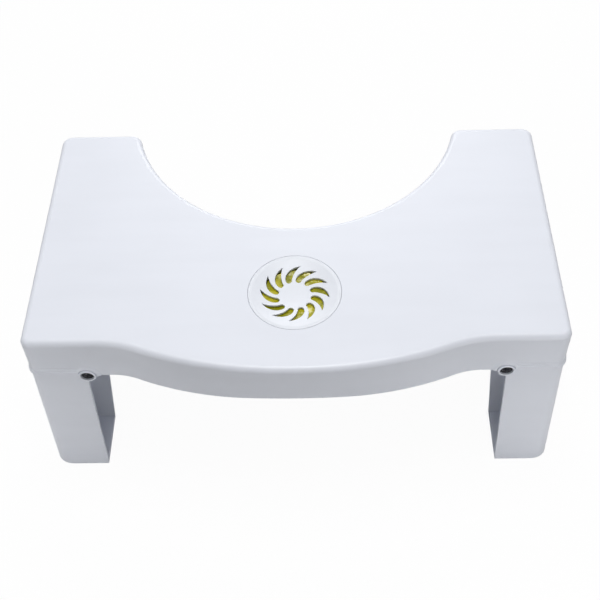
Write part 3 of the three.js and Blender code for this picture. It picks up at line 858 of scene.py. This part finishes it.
cheeks = at_corners(cheek())
print("cheeks:", len(cheeks.data.polygons), "faces at four corners")

# %% [markdown]
# ## Putting the deck together
# The swellings, ribs and well are fused to the skin first. Then the well's hole and the arches are cut,
# and the cheeks go on after that, so that the arch cutters don't reach them. The screw holes come last.

# %% Put the deck together
def finish_piece(thing, name, body, nodes, material, sharp=34):
    """Names a finished piece, smooths its curves, gives it its finish and ties it to the frame."""
    thing.name = name
    thing.data.name = name
    thing.data.polygons.foreach_set("material_index", [0] * len(thing.data.polygons))
    thing.data.materials.clear()
    thing.data.materials.append(material)
    thing.data.shade_smooth()
    thing.data.set_sharp_from_angle(angle=math.radians(sharp))
    with_modifier(thing, "WEIGHTED_NORMAL", keep_sharp=True)
    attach(thing, body)
    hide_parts(*nodes)
    print(name, "has", len(thing.data.polygons), "faces and rides on", body)
    return thing


fuse(deck, at_corners(swelling))
fuse(deck, ribs, well)
carve(deck, well_hole, at_corners(arch_cut))
fuse(deck, cheeks)
carve(deck, at_corners(screw_hole))
finish_piece(deck, "deck_shell", "deck", ["top_shell"], shell_plastic)

# %% [markdown]
# ## The legs
# Each leg is a tray that opens inward: an outer plate, a front and a back flange, and a floor at each
# foot, all three millimetres thick. It leans out by about three degrees. It is modelled upright, where
# its faces are square to the axes, and is slanted at the end, before its round pivot bosses go on.

# %% Leg tray
leg_width = 41.3 * mm
leg_lean = math.tan(math.radians(3.24))
edge_set = 0.7 * mm
foot_z = leg_low.z
foot_radius = 5.5 * mm
foot_floor = 3 * mm
edge_bevel = 0.4 * mm
bevelled = dict(width=edge_bevel, segments=2, limit_method="ANGLE", angle_limit=bevel_angle)


def leg_rows(bottom, top, inset, open_by):
    """Rows of the leg from its rounded foot up, as u, y, z with u measured from its open edge."""
    radius = foot_radius - inset
    levels = [(bottom + radius * (1 - math.cos(a)), radius * (1 - math.sin(a)))
              for a in [math.pi / 2 * i / 12 for i in range(13)]]
    rows = []
    for z, shift in [*levels, (top, 0)]:
        front, back, outer = leg_front + inset, leg_back - inset, leg_width - inset - shift
        near, far = front_corner - inset, back_corner - inset
        edge = arc(outer - near, front + near, near, -90, 0, 10)
        edge += arc(outer - far, back - far, far, 0, 90, 12)
        plan = [Vector((-open_by, front)), *edge, Vector((-open_by, back))]
        rows.append([Vector((p.x, p.y, z)) for p in plan])
    return rows


envelope = loft("envelope", leg_rows(foot_z, leg_top, 0, 0))
trimmer = moved_copy(envelope, Matrix())
band_trimmer = moved_copy(envelope, Matrix())
hollow = loft("leg_hollow", leg_rows(foot_z + foot_floor, leg_top + overrun, wall, leg_width))
tray = carve(envelope, hollow)
with_modifier(tray, "BEVEL", **bevelled)
print("leg tray:", len(tray.data.polygons), "faces")

# %% [markdown]
# ## The arch between the feet
# The outer plate is cut away in an arch, so that the stool stands on four feet. A wall as thick as
# the rest runs round the arch and joins the feet into one stiff leg. The cutter flares at both faces,
# which leaves its edges softly rounded.

# %% Arch
arch_half = 60.7 * mm
arch_height = 74 * mm
arch_slope = math.radians(11.3)
arch_corner = 24 * mm


def arch_outline(growth):
    """The arch as y, z points, from its back foot over the crown to its front foot."""
    slope = math.tan(arch_slope)
    crown = foot_z + arch_height + growth
    radius = arch_corner + growth
    floor_half = arch_half + growth / math.cos(arch_slope)
    bend_half = floor_half - (arch_height + growth) * slope
    centre_half = bend_half - math.tan(math.pi / 4 - arch_slope / 2) * radius
    flare_half = floor_half + overrun * slope
    tilt = math.degrees(arch_slope)
    curve = arc(hinge.y + centre_half, crown - radius, radius, tilt, 90, 16)
    curve += arc(hinge.y - centre_half, crown - radius, radius, 90, 180 - tilt, 16)
    floor = foot_z - overrun
    return [Vector((hinge.y + flare_half, floor)), *curve, Vector((hinge.y - flare_half, floor))]


def arch_body(name, levels):
    """Lofts arch outlines along u. Each level is a place and a growth."""
    return loft(name, [[Vector((u, p.x, p.y)) for p in arch_outline(g)] for u, g in levels])


soft = 0.8 * mm
turn_in = [(soft * (1 - math.cos(a)), soft * (1 - math.sin(a))) for a in
           [math.pi / 2 * i / 5 for i in range(6)]]
opening_levels = [(-overrun, soft), *turn_in,
                  *[(leg_width - u, g) for u, g in reversed(turn_in)], (leg_width + overrun, soft)]
band = arch_body("arch_band", [(-overrun, wall), (leg_width + overrun, wall)])
combine(band, band_trimmer, "INTERSECT")
with_modifier(band, "BEVEL", **bevelled)
arch_opening = arch_body("arch_opening", opening_levels)
print("arch is", round(arch_height * 1000), "mm high")

# %% [markdown]
# ## Ribs inside the leg
# Upright webs carry the weight from the deck down to the arch, and level ledges stiffen the outer
# plate. The same bar tree sets them, and the leg's own shape trims them.

# %% Ribs of the leg
leg_rib = 2.2 * mm
leg_rib_depth = 8 * mm
crown_z = foot_z + arch_height
web_high = leg_top - wall
webs = row_of_bars("webs", 3, (leg_width / 2, hinge.y - arch_half / 2, (crown_z + web_high) / 2),
                   (0, arch_half / 2, 0), (leg_width * 2, leg_rib, web_high - crown_z))
ledge_u = leg_width - wall / 2 - leg_rib_depth / 2
ledge_size = (leg_rib_depth, deck_depth * 1.2, leg_rib)
ledge_step = arch_height / 3
ledges = row_of_bars("ledges", 2, (ledge_u, hinge.y, foot_z + ledge_step), (0, 0, ledge_step), ledge_size)
high_ledge = row_of_bars("high_ledge", 1, (ledge_u, hinge.y, crown_z + wall * 6), (0, 0, 0), ledge_size)
leg_ribs = combine(fuse(webs, ledges, high_ledge), trimmer, "INTERSECT")
fuse(tray, band, leg_ribs)
carve(tray, arch_opening)


def slant(thing):
    """Leans the upright leg out and moves its open edge beside the pivot."""
    for vertex in thing.data.vertices:
        vertex.co.x += hinge.x + edge_set + (hinge.z - vertex.co.z) * leg_lean
    return thing


slant(tray)
print("leg with ribs:", len(tray.data.polygons), "faces")

# %% [markdown]
# ## Pivot bosses and pad pockets
# A round boss stands out of each flange near its top. It has a deep pocket for the screw head and a
# bore for a steel sleeve. The two pockets under the feet hold rubber pads.

# %% Bosses and pockets
pocket_radius = 4.9 * mm
pocket_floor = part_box("pivot_sleeve_right_front")[0].y
bore_radius = 3.3 * mm
boss_edge = 0.6 * mm
pocket_edge = 0.3 * mm
eye_radius = boss_radius - 0.5 * mm
front_ends = [(1, 1), (1, -1)]
eye_room = turned("eye_room", [(0, boss_front), (eye_radius, boss_front), (eye_radius, knuckle_back),
                               (0, knuckle_back)], axis_start, "Y")
pocket_mouth = pocket_radius + pocket_edge
mouth = [(2 * pocket_mouth - r, y) for r, y in rounded(pocket_mouth, 0, pocket_edge, 0, 90, 4)]
knuckle_profile = [(r, boss_front + pocket_edge - z) for r, z in mouth]
knuckle_profile += [(r, boss_front + boss_edge - z) for r, z in
                    rounded(boss_radius - boss_edge, 0, boss_edge, 90, 0, 8)]
knuckle_profile += [(boss_root, knuckle_back), (bore_radius, knuckle_back),
                    (bore_radius, pocket_floor), (pocket_radius, pocket_floor)]
knuckle = turned("knuckle", knuckle_profile, axis_start, "Y", 96)
carve(tray, at_corners(eye_room, front_ends))
fuse(tray, at_corners(knuckle, front_ends))

pad_low, pad_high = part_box("foot_pad_right_front")
pad_high.y = min(pad_high.y, hinge.y - arch_half - wall - clearance)
pad_corner = 4 * mm


def pad_outline(grow):
    """A rounded rectangle round the right front pad."""
    x0, y0, x1, y1 = pad_low.x - grow, pad_low.y - grow, pad_high.x + grow, pad_high.y + grow
    r = pad_corner + grow
    spots = [(x1 - r, y0 + r, -90), (x1 - r, y1 - r, 0), (x0 + r, y1 - r, 90), (x0 + r, y0 + r, 180)]
    return [p for x, y, turn in spots for p in arc(x, y, r, turn, turn + 90, 8)]


def pad_stack(name, levels):
    return loft(name, [[Vector((p.x, p.y, z)) for p in pad_outline(g)] for z, g in levels])


pocket = pad_stack("pocket", [(foot_z - overrun, clearance), (pad_high.z + clearance, clearance)])
carve(tray, at_corners(pocket, front_ends))

right_leg = tray
left_leg = moved_copy(right_leg, corner_matrix(-1, 1))
finish_piece(right_leg, "right_leg_shell", "right_leg", ["right_leg"], shell_plastic)
finish_piece(left_leg, "left_leg_shell", "left_leg", ["left_leg"], shell_plastic)

# %% [markdown]
# ## Rubber foot pads
# Each pad is a rounded tablet pressed into its foot. Small bars across its face grip a wet floor.

# %% Foot pads
pad_edge = 0.3 * mm
tread = 0.5 * mm
pad_middle = (pad_low + pad_high) / 2
bar_step = 4 * mm
bar_count = 8
bar_size = (15 * mm, 1.8 * mm, tread * 2)
pad = pad_stack("pad", [(tread, -pad_edge * 2), (tread + pad_edge, 0), (pad_high.z - pad_edge, 0),
                        (pad_high.z, -pad_edge)])
first_bar = (pad_middle.x, pad_middle.y - bar_step * (bar_count - 1) / 2, tread)
bars = row_of_bars("tread", bar_count, first_bar, (0, bar_step, 0), bar_size, foot_rubber)
fuse(pad, bars)
right_pads = at_corners(pad, front_ends)
left_pads = moved_copy(right_pads, corner_matrix(-1, 1))
for thing, side in ((right_pads, "right"), (left_pads, "left")):
    pads = [f"foot_pad_{side}_front", f"foot_pad_{side}_back"]
    finish_piece(thing, f"{side}_foot_pads", f"{side}_leg", pads, foot_rubber)

# %% [markdown]
# ## Pivot screws and sleeves
# A pan-headed screw with a cross recess goes through a steel sleeve into each cheek. The leg turns on
# the sleeve. The screw is spun from a profile, its thread is a helical ripple, and a tree sets one at
# each corner, turned to face outward.

# %% Corner tree
corner_tree = PartTree("four_corners")
index = corner_tree.node("GeometryNodeInputIndex")[0]
is_right = index.maths("MODULO", index, 2)
is_back = index > 1.5
pivot = corner_tree.vector((is_right * 2 - 1) * hinge.x, hinge.y, hinge.z)
spots = corner_tree.node("GeometryNodePoints", None, {"Count": 4, "Position": pivot})[0]
corner_tree.end(corner_tree.node("GeometryNodeInstanceOnPoints", None,
                                 {"Points": spots, "Instance": corner_tree.given["Geometry"],
                                  "Rotation": corner_tree.vector(0.0, 0.0, is_back * math.pi)})[0])

# %% Screws
head_radius = 4.65 * mm
head_set_back = 1.1 * mm
head_top = boss_front + head_set_back - hinge.y
under_head = pocket_floor - clearance - hinge.y
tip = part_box("pivot_screw_right_front")[1].y - hinge.y
thread_pitch = 1.25 * mm
thread_depth = 0.35 * mm
thread_start = cheek_front - hinge.y
thread_end = tip - shank_radius
steps_per_turn = 8
tip_radius = 0.4 * mm

shank = [(shank_radius, under_head), (shank_radius, thread_start)]
thread_rows = int((thread_end - thread_start) / thread_pitch * steps_per_turn)
shank += [(shank_radius, thread_start + (thread_end - thread_start) * i / thread_rows)
          for i in range(1, thread_rows + 1)]
head_crown, head_edge = 0.35 * mm, 0.8 * mm
dome = [(r, head_top + head_crown + head_edge - z) for r, z in
        rounded(head_radius - head_edge, 0, head_edge, 90, 0, 8)]
screw_profile = [(0, head_top), *dome, (head_radius, under_head), *shank, (tip_radius, tip), (0, tip)]
screw = turned("screw", screw_profile, (0, 0, 0), "Y", 40)
for vertex in screw.data.vertices:
    x, y, z = vertex.co
    if thread_start < y < tip - shank_radius / 2:
        turns = math.atan2(z, x) / (2 * math.pi) + y / thread_pitch
        ripple = abs((turns % 1) * 2 - 1)
        scale = 1 - thread_depth / shank_radius * ripple
        vertex.co = (x * scale, y, z * scale)

recess_depth = 1.1 * mm
recess_length, recess_width = 5.2 * mm, 1.1 * mm
recess_taper_share = 0.55
square = ((-1, -1), (1, -1), (1, 1), (-1, 1))
for wide, tall in ((recess_length, recess_width), (recess_width, recess_length)):
    near = [Vector((sx * wide / 2, head_top - overrun / 2, sz * tall / 2)) for sx, sz in square]
    deep = [Vector((p.x * recess_taper_share, head_top + recess_depth, p.z * recess_taper_share))
            for p in near]
    carve(screw, loft("driver_slot", [near, deep]))
screws = corner_tree.make("pivot_screws", dark_steel, screw)
finish_piece(screws, "pivot_screws", "deck", [n for n in frame["nodes"] if n.startswith("pivot_screw")],
             dark_steel)

# %% [markdown]
# ## The sleeves
# A sleeve is a short steel tube with its two outer rims chamfered. It stands between the screw head and the
# cheek, so that a tight screw clamps the sleeve and leaves the leg free to turn.

# %% Sleeves
sleeve_outer = 3 * mm
sleeve_inner = shank_radius + clearance
sleeve_low, sleeve_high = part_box("pivot_sleeve_right_front")
sleeve_y0, sleeve_y1 = sleeve_low.y - hinge.y, sleeve_high.y - hinge.y
chamfer = 0.2 * mm
sleeve_profile = [(sleeve_inner, sleeve_y0), (sleeve_outer - chamfer, sleeve_y0),
                  (sleeve_outer, sleeve_y0 + chamfer), (sleeve_outer, sleeve_y1 - chamfer),
                  (sleeve_outer - chamfer, sleeve_y1), (sleeve_inner, sleeve_y1)]
sleeve = turned("sleeve", sleeve_profile, (0, 0, 0), "Y", 64)
sleeves = corner_tree.make("pivot_sleeves", bright_steel, sleeve)
finish_piece(sleeves, "pivot_sleeves", "deck", [n for n in frame["nodes"] if n.startswith("pivot_sleeve")],
             bright_steel)

# %% [markdown]
# ## Lid of the scent insert
# The lid is a round plate with a flat rim and a shallow dish, so it doesn't stand above the deck. Its
# snap ring grips the cup. The plate is spun from a profile whose dish is a parabola.

# %% Lid plate
dish_radius = 31 * mm
dish_depth = 4.9 * mm
lid_thickness = 1.6 * mm
snap_radius = 27.3 * mm
snap_wall = 1.3 * mm
lid_edge = 0.2 * mm
snap_edge = 0.3 * mm
plate_edge = 0.2 * mm
dish_lip = 0.5 * mm
lip_drop = 0.06 * mm


def dish_drop(radius):
    return dish_depth * max(1 - (radius / dish_radius) ** 2, 0)


def dish_line(drop, first, last, steps):
    spots = [first + (last - first) * i / steps for i in range(steps + 1)]
    return [(r, deck_top - dish_drop(r) - drop) for r in spots]


rim = [(r, deck_top - lid_edge + z) for r, z in rounded(lid_radius - lid_edge, 0, lid_edge, 0, 90)]
snap_inner = snap_radius - snap_wall
plate_low = deck_top - lid_thickness
lid_profile = [*dish_line(lid_thickness, 0, snap_inner, 12),
               (snap_inner, lid_low.z + snap_edge), (snap_inner + snap_edge, lid_low.z),
               (snap_radius - snap_edge, lid_low.z), (snap_radius, lid_low.z + snap_edge),
               (snap_radius, plate_low), (lid_radius - plate_edge, plate_low),
               (lid_radius, plate_low + plate_edge), *rim, (dish_radius + dish_lip * 0.6, deck_top),
               (dish_radius - dish_lip * 0.2, deck_top - lip_drop),
               *dish_line(0, dish_radius - dish_lip, 0, 16)]
lid = turned("lid", lid_profile, (insert.x, insert.y, 0), "Z", 160)
print("lid is", round(lid_radius * 2000, 1), "mm wide and dished by", dish_depth * 1000, "mm")

# %% [markdown]
# ## Comma slots
# Twelve curved slots let the scent out. Each starts round near the hub, swells, and sweeps clockwise to
# a point. The cutter is a fine block that a rule bends: along its length it follows the sweep, and
# towards the top it widens, so that it leaves a rounded edge wherever it meets the dish.

# %% Slot tree
slot_tree = PartTree("comma_slots", "Count", "Start", "End", "Half Width", "Sweep", "Bend", "Belly",
                     "First Angle", "Edge", "Dish Radius", "Dish Depth", "Top", "Reach")
given = slot_tree.given
along_steps, level_steps = 33, 8
slot_weld = 0.003 * mm
block = slot_tree.node("GeometryNodeMeshCube", None,
                       {"Size": (1.0, 2.0, 1.0), "Vertices X": 2, "Vertices Y": along_steps,
                        "Vertices Z": level_steps})[0]
side, run, height = slot_tree.split(slot_tree.node("GeometryNodeInputPosition")[0])
side = side * 2
t = run.high(0)
level = (height + 0.5) * (level_steps - 1)
curl = ((level - 1) / (level_steps - 3)).high(0).low(1) * (math.pi / 2)
widen = given["Edge"] * (1 - curl.cosine())
radius = given["Start"] + (given["End"] - given["Start"]) * t
angle = 0 - given["Sweep"] * t ** given["Bend"]
speed = given["End"] - given["Start"]
swing = 0 - given["Sweep"] * given["Bend"] * t ** (given["Bend"] - 1) * radius
length = (speed * speed + swing * swing).root()
ahead_r, ahead_t = speed / length, swing / length
round_end = (run.low(0) * (math.pi / 2))
half = (given["Half Width"] * (1 - t) * (1 + given["Belly"] * t) + widen) * round_end.cosine()
back = (given["Half Width"] + widen) * round_end.sine()
radial = radius + back * ahead_r - half * side * ahead_t
sideways = back * ahead_t + half * side * ahead_r
x = radial * angle.cosine() - sideways * angle.sine()
y = radial * angle.sine() + sideways * angle.cosine()
from_middle = (x * x + y * y).root() / given["Dish Radius"]
surface = given["Top"] - given["Dish Depth"] * (1 - from_middle * from_middle).high(0)
edge_z = surface - given["Edge"] * (1 - curl.sine())
z = edge_z - (level < 0.5) * given["Reach"] + (level > level_steps - 1.5) * given["Reach"]
shaped = slot_tree.node("GeometryNodeSetPosition", None,
                        {"Geometry": block, "Position": slot_tree.vector(x, y, z)})[0]
faced_out = slot_tree.node("GeometryNodeFlipFaces", None, {"Mesh": shaped})[0]
welded = slot_tree.node("GeometryNodeMergeByDistance", None,
                        {"Geometry": faced_out, "Distance": slot_weld})[0]
index = slot_tree.node("GeometryNodeInputIndex")[0]
turn = given["First Angle"] - index * (2 * math.pi) / given["Count"]
spots = slot_tree.node("GeometryNodePoints", None,
                       {"Count": given["Count"], "Position": (insert.x, insert.y, 0)})[0]
slot_tree.end(slot_tree.node("GeometryNodeInstanceOnPoints", None,
                             {"Points": spots, "Instance": welded,
                              "Rotation": slot_tree.vector(0.0, 0.0, turn)})[0])

# %% [markdown]
# ## Cutting the slots
# The tree's inputs are the sizes of one slot. Start and end are radii from the lid's middle, and the
# reach is how far a cutter goes past the plate on both sides.

# %% Cut the slots
slot_count = 12
slot_start, slot_end = 13.9 * mm, 25.3 * mm
slot_half_width = 2.2 * mm
slot_edge = 0.25 * mm
slot_reach = 6 * mm
slot_sweep, first_angle = math.radians(28), math.radians(108.5)
cutters = slot_tree.make("slots", insert_plastic, Count=slot_count, Start=slot_start, End=slot_end,
                         Half_Width=slot_half_width, Sweep=slot_sweep, Bend=1.45, Belly=2.0,
                         First_Angle=first_angle, Edge=slot_edge, Dish_Radius=dish_radius,
                         Dish_Depth=dish_depth, Top=deck_top, Reach=slot_reach)
print("cutters:", len(cutters.data.polygons), "faces")
carve(lid, cutters)
finish_piece(lid, "scent_lid_plate", "scent_lid", ["scent_lid"], insert_plastic)

# %% [markdown]
# ## Cup and scented gel
# The cup is a plain turned bowl with a flange. The gel cake fills it and follows the dish of the lid a
# little below. It is uneven on top, as a dried gel is, so a tree pushes its surface in and out by a
# fixed noise field.

# %% Cup
cup_wall = 1.8 * mm
cup_inner = cup_radius - cup_wall
flange_bottom = cup_high.z - 1.5 * mm
cup_floor = cup_low.z + 1.6 * mm
cup_profile = [(0, cup_low.z), (cup_inner, cup_low.z),
               *[(r, cup_low.z + cup_wall + z) for r, z in rounded(cup_inner, 0, cup_wall, -75, 0)],
               (cup_radius, flange_bottom), (lid_radius - plate_edge, flange_bottom),
               (lid_radius, flange_bottom + plate_edge), (lid_radius, cup_high.z - plate_edge),
               (lid_radius - plate_edge, cup_high.z), (cup_inner, cup_high.z),
               *[(r, cup_floor + cup_wall + z) for r, z in
                 rounded(cup_inner - cup_wall, 0, cup_wall, 0, -90)],
               (0, cup_floor)]
cup = turned("cup", cup_profile, (insert.x, insert.y, 0), "Z", 128)
finish_piece(cup, "scent_cup_bowl", "deck", ["scent_cup"], insert_plastic)

# %% [markdown]
# ## The gel cake
# The cake has a straight side in the cup, a rounded shoulder below the lid's snap ring, and a dished
# top that shows through the slots. It ends short of the ring, so the tips of the slots look dark.

# %% Gel cake
gel_tree = PartTree("uneven_gel", "Amount", "Scale")
place = gel_tree.node("GeometryNodeInputPosition")[0]
noise = gel_tree.node("ShaderNodeTexNoise", None,
                      {"Vector": place, "Scale": gel_tree.given["Scale"], "Detail": 4})[0]
normal = gel_tree.node("GeometryNodeInputNormal")[0]
push = gel_tree.node("ShaderNodeVectorMath", {"operation": "SCALE"},
                     {0: normal, "Scale": (noise - 0.5) * gel_tree.given["Amount"]})[0]
gel_tree.end(gel_tree.node("GeometryNodeSetPosition", None,
                           {"Geometry": gel_tree.given["Geometry"], "Offset": push})[0])

gel_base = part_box("scent_pad")[0].z + 0.4 * mm
gel_radius = cup_inner - 0.5 * mm
gel_shoulder = lid_low.z - 0.6 * mm
gel_neck = snap_radius - snap_wall - 2 * mm
gel_gap = 0.8 * mm
gel_round = 1 * mm
gel_chamfer = 0.7 * mm
gel_lumps = 1.2 * mm
gel_side = gel_shoulder - gel_round
gel_rows = [(gel_radius, gel_base + (gel_side - gel_base) * i / 8) for i in range(9)]
gel_rows += [(r, gel_side + z) for r, z in rounded(gel_radius - gel_round, 0, gel_round, 0, 90)][1:]
gel_rows += [(gel_neck, gel_shoulder + gel_round * i) for i in range(3)]
gel_rows += dish_line(lid_thickness + gel_gap, gel_neck - gel_chamfer, 0, 50)
gel_cake = turned("gel", [(0, gel_base), *gel_rows], (insert.x, insert.y, 0), "Z", 160)
gel_tree.make("gel", scent_gel, gel_cake, Amount=gel_lumps, Scale=260.0)
finish_piece(gel_cake, "scent_gel_cake", "deck", ["scent_pad"], scent_gel, 80)

# %% [markdown]
# ## Floor, background and light
# The stool stands on a plain white floor against a white background. Camera rays see the background at
# full white, and so do reflections. The light on the stool comes from three large soft lamps above and
# behind it, and from two small ones that lift the faces of the legs.

# %% Floor and world
floor_size = 6.0
corner = floor_size / 2
floor_mesh = bpy.data.meshes.new("floor")
floor_mesh.from_pydata([(-corner, -corner, 0), (corner, -corner, 0), (corner, corner, 0),
                        (-corner, corner, 0)], [], [(0, 1, 2, 3)])
floor = place_object("floor", floor_mesh)
floor_paint, floor_shader, tree = new_material("floor_paint", (0.9, 0.9, 0.9), 0.9)
rays = tree.node("ShaderNodeLightPath")
glow = tree.node("ShaderNodeEmission", None, {"Color": (1, 1, 1, 1), "Strength": 1.0})[0]
lit = Wire(tree, floor_shader.outputs[0])
seen = tree.node("ShaderNodeMixShader", None, {0: rays[0] * 0.96, 1: lit, 2: glow})[0]
tree.feed(floor_paint.node_tree.nodes["Material Output"].inputs[0], seen)
floor.data.materials.append(floor_paint)
print("floor is", floor_size, "m wide")

world = bpy.data.worlds.new("studio")
bpy.context.scene.world = world
world.use_nodes = True
tree = Tree(world.node_tree)
rays = tree.node("ShaderNodeLightPath")
is_seen = rays[0].high(rays[3]).high(rays[6])
ambient = 0.03
background = world.node_tree.nodes["Background"]
background.inputs[0].default_value = (1, 1, 1, 1)
tree.feed(background.inputs[1], is_seen * (1 - ambient) + ambient)

# %% [markdown]
# ## Lamps
# Two large lamps stand high above the deck and its front, and one behind it. They light the top evenly
# and leave the bulge greyer. A small weak lamp low in front of each leg lifts its front.

# %% Lamps
def soft_lamp(name, place, target, size, power):
    lamp = bpy.data.objects.new(name, bpy.data.lights.new(name, "AREA"))
    lamp.data.size = size
    lamp.data.energy = power
    lamp.location = place
    lamp.rotation_euler = (Vector(target) - Vector(place)).to_track_quat("-Z", "Y").to_euler()
    bpy.context.scene.collection.objects.link(lamp)
    return lamp


stool_middle = (0, 0, 0.1)
soft_lamp("overhead", (0, 0.1, 2.6), stool_middle, 1.0, 35.5)
soft_lamp("front_top", (0, -0.7, 2.5), stool_middle, 1.0, 12.0)
soft_lamp("back", (0, 1.2, 0.9), stool_middle, 0.6, 5.6)
soft_lamp("left_leg", (-0.3, -0.28, 0.1), (-0.17, -0.05, 0.08), 0.08, 0.072)
soft_lamp("right_leg", (0.24, -0.33, 0.1), (0.17, -0.08, 0.08), 0.08, 0.125)
bpy.context.scene.view_settings.view_transform = "Standard"
print("lamps:", [lamp.name for lamp in bpy.data.lights])
